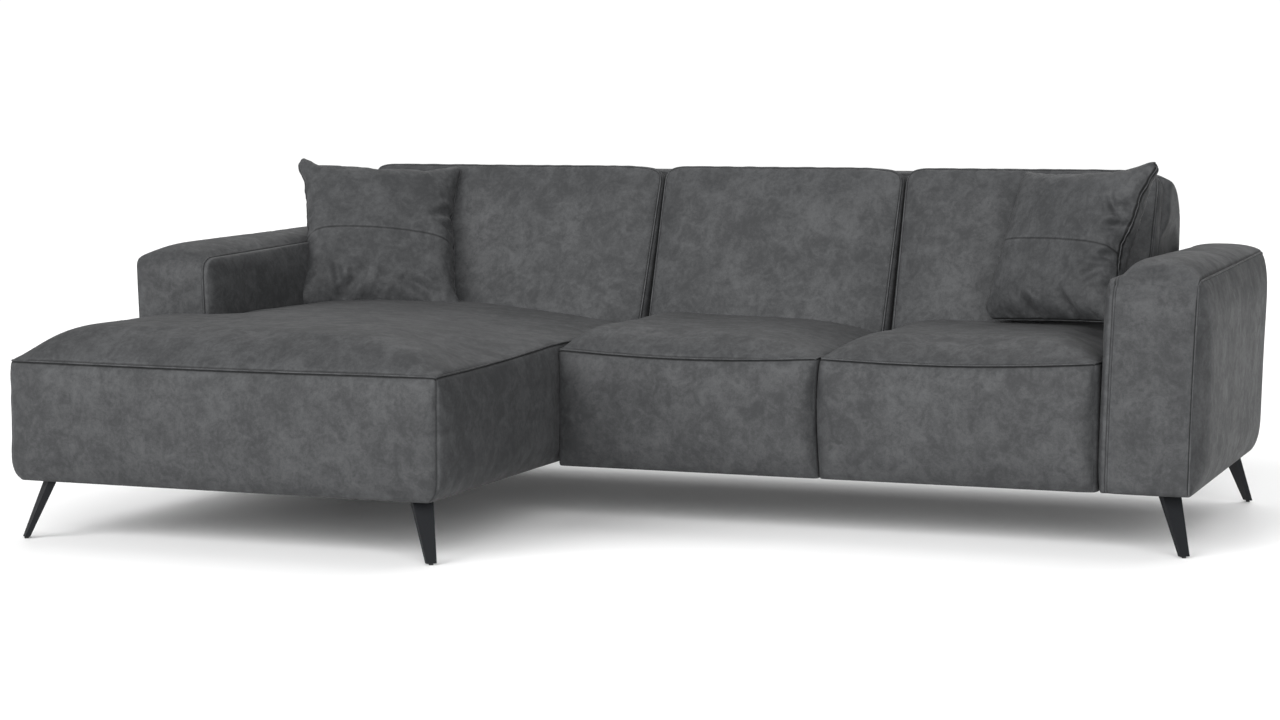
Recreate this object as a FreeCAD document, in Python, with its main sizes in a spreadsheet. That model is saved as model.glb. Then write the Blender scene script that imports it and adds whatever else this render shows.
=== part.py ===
import FreeCAD
import Part
import Sketcher
import math
import os

# Corner lounge sofa: a chaise module on the left and a two-seat module on the right, joined under
# the seats, with fixed back cushions, two arms, splayed metal legs and two loose throw cushions.
# Millimetres. X runs to the sitter's left hand side as seen from the front (the viewer's right),
# Y to the back, Z up. The origin is on the floor, in the middle of the whole sofa's outline.

SIZES = {
    # Plan
    "chaise_width": 1085,
    "chaise_reach": 690,
    "seat_width": 657,
    "sofa_depth": 975,
    "outline_crown": 14,
    # Heights
    "base_height": 143,
    "chaise_seam_height": 418,
    "chaise_crown": 67,
    "seat_seam_height": 424,
    "seat_crown": 50,
    # Upholstery walls: the cover with the wadding behind it
    "front_wall": 42,
    "side_wall": 26,
    "side_tuck": 8,
    "seat_tuck": 4,
    "hem_tuck": 14,
    # Arms
    "arm_seam_width": 204,
    "arm_inner_crown": 12,
    "arm_outer_crown": 22,
    "arm_height": 666,
    "arm_top_crown": 36,
    "arm_front_radius": 48,
    "arm_rear_radius": 34,
    "arm_heel_radius": 40,
    "arm_toe_radius": 12,
    "left_arm_set_forward": 132,
    "arm_wall": 36,
    "arm_top_wall": 48,
    "arm_board": 18,
    "arm_pad_thickness": 40,
    "arm_window_gap": 56,
    # Back
    "recline": 21,
    "back_foot_height": 300,
    "back_foot_set_back": 607,
    "back_height": 849,
    "back_gusset": 55,
    "back_crown": 25,
    "back_corner_radius": 36,
    "back_rear_radius": 150,
    "back_wall": 16,
    "back_end_gap": 2,
    "back_shoulder_drop": 127,
    "rear_heel_radius": 24,
    "back_board": 28,
    "back_board_width": 70,
    "back_board_margin": 34,
    "back_foam_margin": 40,
    "tuck_clearance": 0.5,
    # Timber bases
    "dust_cover_thickness": 1.5,
    "hem_depth": 3,
    "rail_height": 140,
    "rail_thickness": 26,
    "corner_block_height": 38,
    "seat_depth": 505,
    "seat_top_wadding": 46.5,
    "chaise_top_wadding": 61.5,
    # Seat springs and straps
    "spring_wire": 4,
    "spring_pitch": 36,
    "spring_swing": 22,
    "felt_thickness": 4,
    "strap_width": 60,
    "strap_thickness": 2,
    # Legs
    "leg_top_width": 50,
    "leg_top_thickness": 20,
    "leg_foot_width": 23,
    "leg_foot_thickness": 12,
    "leg_splay": 62,
    "leg_plate": 76,
    "leg_plate_thickness": 4,
    "leg_inset": 64,
    "leg_plate_margin": 2,
    "glide_thickness": 4,
    "screw_radius": 3,
    "screw_head_radius": 6,
    "screw_head_height": 3,
    "screw_length": 34,
    "screw_ring": 39,
    "screw_clearance": 0.4,
    "bolt_radius": 4,
    "bolt_head_radius": 8,
    "bolt_head_height": 5,
    "bolt_front_inset": 230,
    "bolt_rear_inset": 470,
    # Coupling between the two modules
    "coupling_plate": 4,
    "coupling_width": 60,
    "coupling_front_inset": 190,
    "coupling_rear_inset": 260,
    # Throw cushions
    "cushion_size": 420,
    "cushion_thickness": 150,
    "cushion_cover_wall": 6,
    "cushion_lean_left": 27,
    "cushion_turn_left": 28,
    "cushion_lean_right": 25,
    "cushion_turn_right": 33,
    "cushion_drop_right": 8.8,
    "cushion_room_right": 40,
    "soft_clearance": 0.4,
}

document = FreeCAD.newDocument("LoungeSofa")
sheet = document.addObject("Spreadsheet::Sheet", "Sizes")
for row, (alias, amount) in enumerate(SIZES.items(), start=1):
    sheet.set("A%d" % row, alias)
    sheet.set("B%d" % row, str(amount))
    sheet.setAlias("B%d" % row, alias)
document.recompute()


class Size:
    """A size that carries both its value now and the sheet formula that gives it."""

    def __init__(self, value, formula):
        self.value = float(value)
        self.formula = formula

    def __add__(self, other):
        other = as_size(other)
        return Size(self.value + other.value, "(%s + %s)" % (self.formula, other.formula))

    def __radd__(self, other):
        return as_size(other) + self

    def __sub__(self, other):
        other = as_size(other)
        return Size(self.value - other.value, "(%s - %s)" % (self.formula, other.formula))

    def __rsub__(self, other):
        return as_size(other) - self

    def __mul__(self, other):
        other = as_size(other)
        return Size(self.value * other.value, "(%s * %s)" % (self.formula, other.formula))

    def __rmul__(self, other):
        return as_size(other) * self

    def __truediv__(self, other):
        other = as_size(other)
        return Size(self.value / other.value, "(%s / %s)" % (self.formula, other.formula))

    def __neg__(self):
        return Size(-self.value, "(0 - %s)" % self.formula)


def as_size(number):
    """A plain number, or a Size as it is."""
    if isinstance(number, Size):
        return number
    return Size(number, "(%s)" % repr(float(number)))


def cell(alias):
    """The size that the sheet holds under this name."""
    return Size(getattr(sheet, alias), "Sizes.%s" % alias)


def sine(angle):
    return Size(math.sin(math.radians(angle.value)), "sin(%s)" % angle.formula)


def cosine(angle):
    return Size(math.cos(math.radians(angle.value)), "cos(%s)" % angle.formula)


def bind(item, prop, amount):
    """Tie one property of an object to the sheet."""
    item.setExpression(prop, as_size(amount).formula)


# Shared positions, all worked out from the sheet
chaise_width = cell("chaise_width")
seat_width = cell("seat_width")
arm_inner_crown = cell("arm_inner_crown")
arm_seam_width = cell("arm_seam_width")
arm_outer_crown = cell("arm_outer_crown")
arm_width = arm_inner_crown + arm_seam_width
overall_width = chaise_width + seat_width * 2 + arm_width
overall_depth = cell("chaise_reach") + cell("sofa_depth")
left_x = -overall_width / 2
right_x = overall_width / 2
junction_x = left_x + chaise_width
middle_x = junction_x + seat_width
seats_end_x = middle_x + seat_width
left_arm_inner_x = left_x + arm_width
front_y = -overall_depth / 2
rear_y = overall_depth / 2
seat_front_y = front_y + cell("chaise_reach")
left_arm_front_y = seat_front_y - cell("left_arm_set_forward")
base_z = cell("base_height")
dust_z = base_z + cell("hem_depth")
rail_z = dust_z + cell("dust_cover_thickness")
rail_top_z = rail_z + cell("rail_height")
spring_top_z = rail_top_z + cell("spring_wire")
seat_foam_z = spring_top_z + cell("felt_thickness")
chaise_foam_z = rail_top_z + cell("strap_thickness") * 2
chaise_top_z = cell("chaise_seam_height") + cell("chaise_crown")
seat_top_z = cell("seat_seam_height") + cell("seat_crown")
chaise_foam_top_z = chaise_top_z - cell("chaise_top_wadding")
seat_foam_top_z = seat_top_z - cell("seat_top_wadding")
back_foot_y = seat_front_y + cell("back_foot_set_back")
back_foot_z = cell("back_foot_height")
lean_sine = sine(cell("recline"))
lean_cosine = cosine(cell("recline"))
front_wall = cell("front_wall")
side_wall = cell("side_wall")
back_wall = cell("back_wall")
clearance = cell("soft_clearance")
exported = []


def box(name, x_span, y_span, z_span):
    """A straight board, slab or cutting block between named planes."""
    block = document.addObject("Part::Box", name)
    bind(block, "Length", as_size(x_span[1]) - x_span[0])
    bind(block, "Width", as_size(y_span[1]) - y_span[0])
    bind(block, "Height", as_size(z_span[1]) - z_span[0])
    bind(block, "Placement.Base.x", x_span[0])
    bind(block, "Placement.Base.y", y_span[0])
    bind(block, "Placement.Base.z", z_span[0])
    return block


def lean(item, x_place, across, up):
    """Stand an object on the back's leaning plane, 'across' behind it and 'up' along it."""
    item.Placement.Rotation = FreeCAD.Rotation(FreeCAD.Vector(1, 0, 0), -cell("recline").value)
    across = as_size(across)
    up = as_size(up)
    bind(item, "Placement.Rotation.Angle", -cell("recline"))
    bind(item, "Placement.Base.x", x_place)
    bind(item, "Placement.Base.y", back_foot_y + across * lean_cosine + up * lean_sine)
    bind(item, "Placement.Base.z", back_foot_z - across * lean_sine + up * lean_cosine)
    return item


def leaning_box(name, x_span, across_span, up_span):
    """A board or slab that leans back with the seat back."""
    block = document.addObject("Part::Box", name)
    bind(block, "Length", as_size(x_span[1]) - x_span[0])
    bind(block, "Width", as_size(across_span[1]) - across_span[0])
    bind(block, "Height", as_size(up_span[1]) - up_span[0])
    return lean(block, x_span[0], across_span[0], up_span[0])


def cylinder(name, radius, height, x_place, y_place, z_place):
    """An upright round bar."""
    bar = document.addObject("Part::Cylinder", name)
    bind(bar, "Radius", radius)
    bind(bar, "Height", height)
    bind(bar, "Placement.Base.x", x_place)
    bind(bar, "Placement.Base.y", y_place)
    bind(bar, "Placement.Base.z", z_place)
    return bar


def joined(name, members):
    """Several glued or grouped members as one object."""
    if len(members) == 1:
        return members[0]
    group = document.addObject("Part::MultiFuse", name)
    group.Shapes = members
    group.Refine = True
    return group


def grouped(name, members):
    """Like pieces that stay separate solids in one node."""
    group = document.addObject("Part::Compound", name)
    group.Links = members
    return group


def less(name, base, tools):
    """The base with the tools cut out of it."""
    cut = document.addObject("Part::Cut", name)
    cut.Base = base
    cut.Tool = joined(name + "_tools", tools)
    return cut


def node(item, label):
    """Mark an object as one of the sofa's real pieces."""
    item.Label = label
    exported.append(item)
    return item


def origin_plane(body, role):
    return [feature for feature in body.Origin.OriginFeatures if feature.Role == role][0]


def arc_radius(chord, rise):
    """Radius of the shallow arc that rises this far over this chord."""
    return (chord * chord / 4 + rise * rise) / (rise * 2)


def section(body, name, role, offset, corners, radii):
    """A closed outline on one of the body's planes: corner points anticlockwise, and for each side
    None for a straight side, a radius for one that swells out, or a negative one drawn in."""
    sketch = body.newObject("Sketcher::SketchObject", name)
    sketch.AttachmentSupport = (origin_plane(body, role), [""])
    sketch.MapMode = "FlatFace"
    bind(sketch, "AttachmentOffset.Base.z", offset)
    points = [FreeCAD.Vector(as_size(px).value, as_size(py).value, 0) for px, py in corners]
    ends = []
    for index, radius in enumerate(radii):
        start = points[index]
        stop = points[(index + 1) % len(points)]
        if radius is None:
            sketch.addGeometry(Part.LineSegment(start, stop), False)
            ends.append((1, 2))
            continue
        drawn_in = radius.value < 0
        first, last = (stop, start) if drawn_in else (start, stop)
        chord = last - first
        reach = math.sqrt(max(radius.value ** 2 - (chord.Length / 2) ** 2, 0))
        inward = FreeCAD.Vector(-chord.y, chord.x, 0).normalize()
        centre = (first + last) * 0.5 + inward * reach
        circle = Part.Circle(centre, FreeCAD.Vector(0, 0, 1), abs(radius.value))
        begin = math.atan2(first.y - centre.y, first.x - centre.x)
        finish = math.atan2(last.y - centre.y, last.x - centre.x)
        if finish < begin:
            finish += 2 * math.pi
        sketch.addGeometry(Part.ArcOfCircle(circle, begin, finish), False)
        ends.append((2, 1) if drawn_in else (1, 2))
    bound = []
    for index, (px, py) in enumerate(corners):
        begin, _ = ends[index]
        follower = (index + 1) % len(corners)
        sketch.addConstraint(Sketcher.Constraint(
            "Coincident", index, ends[index][1], follower, ends[follower][0]))
        for kind, amount in (("DistanceX", as_size(px)), ("DistanceY", as_size(py))):
            bound.append((sketch.addConstraint(Sketcher.Constraint(
                kind, -1, 1, index, begin, amount.value)), amount))
        if radii[index] is not None:
            size = -radii[index] if radii[index].value < 0 else radii[index]
            bound.append((sketch.addConstraint(Sketcher.Constraint(
                "Radius", index, size.value)), size))
    for constraint, amount in bound:
        sketch.setExpression("Constraints[%d]" % constraint, amount.formula)
    return sketch


def lofted(body, name, sections):
    """A skin stretched straight from each section to the next."""
    loft = body.newObject("PartDesign::AdditiveLoft", name)
    loft.Profile = sections[0]
    loft.Sections = sections[1:]
    loft.Ruled = True
    return loft


def swelled_rectangle(body, name, role, offset, u_span, v_span, u_rise, v_rise):
    """A rectangle whose four sides are shallow arcs, as stuffed upholstery has in plan."""
    low_u, high_u = as_size(u_span[0]), as_size(u_span[1])
    low_v, high_v = as_size(v_span[0]), as_size(v_span[1])
    corners = [(low_u, low_v), (high_u, low_v), (high_u, high_v), (low_u, high_v)]
    along_u = arc_radius(high_u - low_u, as_size(v_rise))
    along_v = arc_radius(high_v - low_v, as_size(u_rise))
    return section(body, name, role, offset, corners, [along_u, along_v, along_u, along_v])


def seat_block(name, x_span, y_span, seam_z, crown, side_tuck):
    """A stuffed seat from its hem to its seam and over its crown. Each level gives the height, how
    far the outline stands in from the sides and from the front, and how far its sides swell."""
    body = document.addObject("PartDesign::Body", name)
    hem = cell("hem_tuck")
    swell = cell("outline_crown")
    levels = [
        (base_z, side_tuck + hem, swell + hem, 2, 2),
        (base_z + hem * 0.7, side_tuck + hem * 0.35, swell + hem * 0.35, 3, 5),
        (base_z + hem * 2.2, side_tuck, swell, 4, 9),
        ((base_z + seam_z) / 2, side_tuck, swell, side_tuck, swell),
        (seam_z, side_tuck, swell, 4, 6),
        (seam_z + crown * 0.40, side_tuck + 20, swell + 20, 5, 6),
        (seam_z + crown * 0.75, side_tuck + 62, swell + 66, 6, 8),
        (seam_z + crown * 0.94, side_tuck + 130, swell + 135, 6, 8),
        (seam_z + crown, side_tuck + 210, swell + 215, 4, 5),
    ]
    sections = []
    for index, (height, in_x, in_y, rise_x, rise_y) in enumerate(levels):
        sections.append(swelled_rectangle(
            body, "%s_level_%d" % (name, index), "XY_Plane", height,
            (x_span[0] + in_x, x_span[1] - in_x), (y_span[0] + in_y, y_span[1] - in_y),
            rise_x, rise_y))
    lofted(body, name + "_skin", sections)
    return body


# The plane that the front of the back cushions leans on, and a block for all behind it
cushion_front = -(cell("back_gusset") + cell("back_crown") + cell("tuck_clearance"))


def space_behind_seats(name):
    """Everything behind the front faces of the leaning back cushions."""
    return leaning_box(name, (left_x, right_x), (cushion_front, cell("sofa_depth")),
                       (base_z - back_foot_z - cell("recline"), cell("back_height")))


# Chaise: one stuffed block, full width in front of the arm and narrower beside it
seat_rear_y = back_foot_y + 60
chaise_body = seat_block(
    "chaise_block", (left_x, junction_x), (front_y, seat_rear_y),
    cell("chaise_seam_height"), cell("chaise_crown"), cell("side_tuck"))
arm_notch = box(
    "chaise_arm_notch", (left_x - arm_width, left_arm_inner_x), (left_arm_front_y, rear_y),
    (0, chaise_top_z * 2))
chaise_inner_left = left_x + front_wall
chaise_inner_right = junction_x - front_wall
chaise_inner_front = front_y + front_wall
chaise_step_y = left_arm_front_y - front_wall
chaise_inner_step = left_arm_inner_x + side_wall
frame_rear_y = rear_y - front_wall
chaise_hollow_front = box(
    "chaise_hollow_front", (chaise_inner_left, chaise_inner_right),
    (chaise_inner_front, chaise_step_y), (0, chaise_foam_top_z))
chaise_hollow_rear = box(
    "chaise_hollow_rear", (chaise_inner_step, chaise_inner_right),
    (chaise_step_y, rear_y), (0, chaise_foam_top_z))
# Seat foam stops short of the leaning back, on an upright face
foam_rear_y = seat_front_y + cell("seat_depth")
node(joined("chaise_foam_slabs", [
    box("chaise_foam_front", (chaise_inner_left, chaise_inner_right),
        (chaise_inner_front, chaise_step_y), (chaise_foam_z, chaise_foam_top_z)),
    box("chaise_foam_rear", (chaise_inner_step, chaise_inner_right),
        (chaise_step_y, foam_rear_y), (chaise_foam_z, chaise_foam_top_z))]),
    "chaise_foam")


def rail(name, x_span, y_span):
    """One upright board of a timber base."""
    return box(name, x_span, y_span, (rail_z, rail_top_z))


# A leg block is as wide as a leg plate and the margin on each side of it
leg_block = cell("leg_plate") + cell("leg_plate_margin") * 2


def blocks_for_legs(name, places):
    """Solid blocks glued inside a base, which the legs are screwed to."""
    half = leg_block / 2
    top = rail_z + cell("corner_block_height")
    return [box("%s_%d" % (name, index), (px - half, px + half), (py - half, py + half), (rail_z, top))
            for index, (px, py) in enumerate(places)]


# Where the legs stand. Each metal leg is named with the middle of its plate and the way it splays.
plate_inset = front_wall + cell("leg_plate_margin") + cell("leg_plate") / 2
arm_leg_y = (seat_front_y + plate_inset, rear_y - plate_inset)
METAL_LEGS = {
    "leg_chaise_front_left": (left_x + plate_inset, front_y + plate_inset, 225),
    "leg_chaise_front_right": (junction_x - plate_inset, front_y + plate_inset, 315),
    "leg_chaise_rear_left": (left_x + plate_inset, arm_leg_y[1], 135),
    "leg_seat_front_right": (right_x - plate_inset, arm_leg_y[0], 315),
    "leg_seat_rear_right": (right_x - plate_inset, arm_leg_y[1], 45),
}
seat_inner_left = junction_x + side_wall
seat_inner_right = seats_end_x - side_wall
seat_inner_front = seat_front_y + front_wall
plate_z = dust_z - cell("leg_plate_thickness")
screw_reach = dust_z + cell("screw_length")
hole_radius = cell("screw_radius") + cell("screw_clearance")


def screw_places(leg_names):
    """Three screws round each leg plate, clear of the blade at its outer corner."""
    places = []
    for leg_name in leg_names:
        px, py, turn = METAL_LEGS[leg_name]
        for step in (90, 180, 270):
            angle = math.radians(turn + step)
            places.append((px + cell("screw_ring") * math.cos(angle),
                           py + cell("screw_ring") * math.sin(angle)))
    return places


def screw_holes(name, places, radius):
    return [cylinder("%s_hole_%d" % (name, index), radius, rail_top_z, px, py, 0)
            for index, (px, py) in enumerate(places)]


chaise_front_legs = ["leg_chaise_front_left", "leg_chaise_front_right"]
coupling_half = cell("coupling_width") / 2
coupling_y = (seat_front_y + cell("coupling_front_inset"), frame_rear_y - cell("coupling_rear_inset"))
rail_thickness = cell("rail_thickness")
coupling_hole_x = (chaise_inner_right - rail_thickness / 2, seat_inner_left + rail_thickness / 2)
coupling_places = [(px, py) for px in coupling_hole_x for py in coupling_y]
bolt_hole_radius = cell("bolt_radius") + cell("screw_clearance")
arm_bolt_z = rail_z + cell("rail_height") * 0.62


def bar_along_x(name, radius, x_span, y_place, z_place):
    """A round bar or hole that runs from side to side."""
    bar = document.addObject("Part::Cylinder", name)
    bar.Placement.Rotation = FreeCAD.Rotation(FreeCAD.Vector(0, 1, 0), 90)
    bind(bar, "Radius", radius)
    bind(bar, "Height", as_size(x_span[1]) - x_span[0])
    bind(bar, "Placement.Base.x", x_span[0])
    bind(bar, "Placement.Base.y", y_place)
    bind(bar, "Placement.Base.z", z_place)
    return bar


# Bolts through the bases into the arms: for each side, how far they reach and where they stand
ARM_BOLTS = {
    "left": ((left_arm_inner_x - cell("arm_wall") - cell("arm_board"),
              chaise_inner_step + rail_thickness),
             (left_arm_front_y + cell("bolt_front_inset"), seat_front_y + cell("bolt_rear_inset"))),
    "right": ((seat_inner_right - rail_thickness,
               seats_end_x + cell("arm_wall") + cell("arm_board")),
              (seat_front_y + cell("bolt_front_inset"), seat_front_y + cell("bolt_rear_inset"))),
}


def bolt_holes(name, side):
    """The round holes that one arm's bolts pass through."""
    x_span, y_places = ARM_BOLTS[side]
    return [bar_along_x("%s_bolt_hole_%d" % (name, index), bolt_hole_radius,
                        (x_span[0] - 20, x_span[1] + 20), y_place, arm_bolt_z)
            for index, y_place in enumerate(y_places)]


node(less("chaise_cover_cut", chaise_body, [
    arm_notch, chaise_hollow_front, chaise_hollow_rear, space_behind_seats("chaise_back_space")]
    + bolt_holes("chaise_cover", "left")), "chaise_cover")

# Timber base of the chaise
back_rail_y = (back_foot_y - 36, back_foot_y + 32)
chaise_base = joined("chaise_base_rails", [
    rail("chaise_front_rail", (chaise_inner_left, chaise_inner_right),
         (chaise_inner_front, chaise_inner_front + rail_thickness)),
    rail("chaise_right_rail", (chaise_inner_right - rail_thickness, chaise_inner_right),
         (chaise_inner_front, frame_rear_y)),
    rail("chaise_short_rail", (chaise_inner_left, chaise_inner_left + rail_thickness),
         (chaise_inner_front, chaise_step_y)),
    rail("chaise_step_rail", (chaise_inner_left, chaise_inner_right),
         (chaise_step_y - rail_thickness, chaise_step_y)),
    rail("chaise_left_rail", (chaise_inner_step, chaise_inner_step + rail_thickness),
         (chaise_step_y - rail_thickness, frame_rear_y)),
    rail("chaise_rear_rail", (chaise_inner_step, chaise_inner_right),
         (frame_rear_y - rail_thickness, frame_rear_y)),
    rail("chaise_back_rail", (chaise_inner_step, chaise_inner_right), back_rail_y)]
    + blocks_for_legs("chaise_leg_block", [METAL_LEGS[name][:2] for name in chaise_front_legs]))
node(less("chaise_base_cut", chaise_base,
          screw_holes("chaise_base", screw_places(chaise_front_legs) + coupling_places[:2], hole_radius)
          + bolt_holes("chaise_base", "left")), "chaise_base_frame")

# Timber base under the two seats
seat_base = joined("seat_base_rails", [
    rail("seat_front_rail", (seat_inner_left, seat_inner_right),
         (seat_inner_front, seat_inner_front + rail_thickness)),
    rail("seat_rear_rail", (seat_inner_left, seat_inner_right),
         (frame_rear_y - rail_thickness, frame_rear_y)),
    rail("seat_left_rail", (seat_inner_left, seat_inner_left + rail_thickness),
         (seat_inner_front, frame_rear_y)),
    rail("seat_right_rail", (seat_inner_right - rail_thickness, seat_inner_right),
         (seat_inner_front, frame_rear_y)),
    rail("seat_middle_rail", (middle_x - rail_thickness / 2, middle_x + rail_thickness / 2),
         (seat_inner_front, frame_rear_y)),
    rail("seat_back_rail", (seat_inner_left, seat_inner_right), back_rail_y)])
node(less("seat_base_cut", seat_base,
          screw_holes("seat_base", coupling_places[2:], hole_radius)
          + bolt_holes("seat_base", "right")), "seat_base_frame")

# Thin black cloth stapled under each base
node(less("chaise_dust_cut", joined("chaise_dust_sheet", [
    box("chaise_dust_front", (chaise_inner_left, chaise_inner_right),
        (chaise_inner_front, chaise_step_y), (dust_z, rail_z)),
    box("chaise_dust_rear", (chaise_inner_step, chaise_inner_right),
        (chaise_step_y, frame_rear_y), (dust_z, rail_z))]),
    screw_holes("chaise_dust", screw_places(chaise_front_legs) + coupling_places[:2], hole_radius)),
    "chaise_dust_cover")
node(less("seat_dust_cut", box("seat_dust_sheet", (seat_inner_left, seat_inner_right),
                               (seat_inner_front, frame_rear_y), (dust_z, rail_z)),
          screw_holes("seat_dust", coupling_places[2:], hole_radius)),
     "seat_dust_cover")

# Seats: two stuffed blocks side by side over one base
seat_hollow_rear = rear_y
for name, x_span, under_span in (
        ("left", (junction_x, middle_x), (seat_inner_left, middle_x + 20)),
        ("right", (middle_x, seats_end_x), (middle_x - 20, seat_inner_right))):
    inner = (x_span[0] + side_wall, x_span[1] - side_wall)
    block = seat_block("seat_block_" + name, x_span, (seat_front_y, seat_rear_y),
                       cell("seat_seam_height"), cell("seat_crown"), cell("seat_tuck"))
    hollows = [
        box("seat_hollow_under_" + name, under_span, (seat_inner_front, seat_hollow_rear),
            (0, seat_foam_z)),
        box("seat_hollow_over_" + name, inner, (seat_inner_front, seat_hollow_rear),
            (seat_foam_z, seat_foam_top_z)),
        space_behind_seats("seat_back_space_" + name)]
    if name == "right":
        hollows += bolt_holes("seat_cover", "right")
    node(less("seat_cover_cut_" + name, block, hollows), "seat_cover_" + name)
    node(box("seat_foam_slab_" + name, inner, (seat_inner_front, foam_rear_y),
             (seat_foam_z, seat_foam_top_z)), "seat_foam_" + name)
node(box("seat_felt_sheet", (seat_inner_left, seat_inner_right),
         (seat_inner_front, foam_rear_y), (spring_top_z, seat_foam_z)), "seat_spring_felt")


def zigzag_spring(x_place, y_start, y_stop):
    """One flat zigzag spring of round wire, lying on the rails from front to back."""
    wire = sheet.spring_wire / 2
    step = sheet.spring_pitch / 2
    swing = sheet.spring_swing
    height = (rail_top_z.value + wire)
    runs = int((y_stop.value - y_start.value) // step)
    edges = []
    side = -1
    for run in range(runs):
        y_run = y_start.value + run * step
        start = FreeCAD.Vector(x_place.value + side * swing, y_run, height)
        stop = FreeCAD.Vector(x_place.value - side * swing, y_run, height)
        edges.append(Part.LineSegment(start, stop).toShape())
        if run < runs - 1:
            crest = stop + FreeCAD.Vector(-side * step / 2, step / 2, 0)
            edges.append(Part.Arc(stop, crest, stop + FreeCAD.Vector(0, step, 0)).toShape())
        side = -side
    path = Part.Wire(edges)
    first = edges[0].Vertexes[0].Point
    ring = Part.Wire(Part.makeCircle(wire, first, FreeCAD.Vector(1, 0, 0)))
    return path.makePipeShell([ring], True, False)


# Zigzag springs: a row under each seat. Their bends follow no primitive, so they are swept shapes.
spring_shapes = []
for seat_left in (junction_x, middle_x):
    for share in (0.14, 0.38, 0.62, 0.86):
        spring_shapes.append(zigzag_spring(
            seat_left + side_wall + (seat_width - side_wall * 2) * share,
            seat_inner_front + 8, back_rail_y[0] + 14))
springs = document.addObject("Part::Feature", "seat_spring_row")
springs.Shape = Part.Compound(spring_shapes)
node(springs, "seat_springs")

# Elastic straps under the chaise foam, one layer across and one along
strap_width = cell("strap_width")
strap_thickness = cell("strap_thickness")
straps = []
across_z = (rail_top_z, rail_top_z + strap_thickness)
along_z = (rail_top_z + strap_thickness, chaise_foam_z)
strap_start_y = chaise_inner_front + 70
strap_room_y = back_rail_y[0] - 20 - strap_start_y
for index in range(9):
    y_place = strap_start_y + (strap_room_y - strap_width) * (index / 8)
    beside_arm = y_place.value + strap_width.value > chaise_step_y.value - 2
    strap_left = chaise_inner_step if beside_arm else chaise_inner_left
    straps.append(box("chaise_strap_across_%d" % index, (strap_left, chaise_inner_right),
                      (y_place, y_place + strap_width), across_z))
strap_rear_y = back_foot_y - 8
strap_room_x = chaise_inner_right - chaise_inner_step - 80
for index in range(6):
    x_place = chaise_inner_step + 40 + (strap_room_x - strap_width) * (index / 5)
    straps.append(box("chaise_strap_along_%d" % index, (x_place, x_place + strap_width),
                      (chaise_inner_front, strap_rear_y), along_z))
node(grouped("chaise_strap_net", straps), "chaise_webbing")

# Back cushions: a front panel crowned inside its seam, a gusset, and a foam block behind
gusset = cell("back_gusset")
back_crown = cell("back_crown")
back_length = (cell("back_height") - back_foot_z - gusset * lean_sine) / lean_cosine
cushion_low = as_size(20)
corner_radius = cell("back_corner_radius")


def back_cushion(name, x_span):
    """A leaning cushion: its outline grows from the rear to the front seam, then crowns over."""
    body = document.addObject("PartDesign::Body", "back_block_" + name)
    # How far each outline stands in front of the frame, in from the seam, and swells at its sides
    levels = [
        (as_size(0), 1, 3),
        (gusset * 0.5, 0, 4),
        (gusset, 3, 3),
        (gusset + back_crown * 0.45, back_length * 0.039, 4),
        (gusset + back_crown * 0.80, back_length * 0.117, 6),
        (gusset + back_crown * 0.95, back_length * 0.238, 6),
        (gusset + back_crown, back_length * 0.362, 4),
    ]
    sections = []
    for index, (offset, inset, rise) in enumerate(levels):
        low_x = as_size(x_span[0]) + inset + rise
        high_x = as_size(x_span[1]) - inset - rise
        low_up = cushion_low + inset
        high_up = back_length - inset
        corners = [(low_x, low_up), (high_x, low_up), (high_x, high_up - corner_radius),
                   (high_x - corner_radius, high_up), (low_x + corner_radius, high_up),
                   (low_x, high_up - corner_radius)]
        side_radius = arc_radius(high_up - corner_radius - low_up, as_size(rise))
        top_radius = arc_radius(high_x - low_x - corner_radius * 2, as_size(rise))
        radii = [None, side_radius, corner_radius, top_radius, corner_radius, side_radius]
        sections.append(section(body, "back_%s_level_%d" % (name, index), "XZ_Plane", offset,
                                corners, radii))
    lofted(body, "back_%s_skin" % name, sections)
    return lean(body, 0, 0, 0)


back_left_x = left_arm_inner_x + cell("back_end_gap")
back_right_x = seats_end_x - cell("back_end_gap")
foam_margin = cell("back_foam_margin")
for name, x_span in (("left", (back_left_x, junction_x)), ("middle", (junction_x, middle_x)),
                     ("right", (middle_x, back_right_x))):
    foam_x = (x_span[0] + foam_margin, x_span[1] - foam_margin)
    foam_up = (cushion_low + foam_margin, back_length - foam_margin)
    foam_front = -(gusset - 6)
    hollow = leaning_box("back_hollow_" + name, foam_x, (foam_front, 40), foam_up)
    node(less("back_cushion_cut_" + name, back_cushion(name, x_span), [hollow]),
         "back_cover_" + name)
    node(leaning_box("back_foam_block_" + name, foam_x, (foam_front, 0), foam_up),
         "back_foam_" + name)

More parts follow.
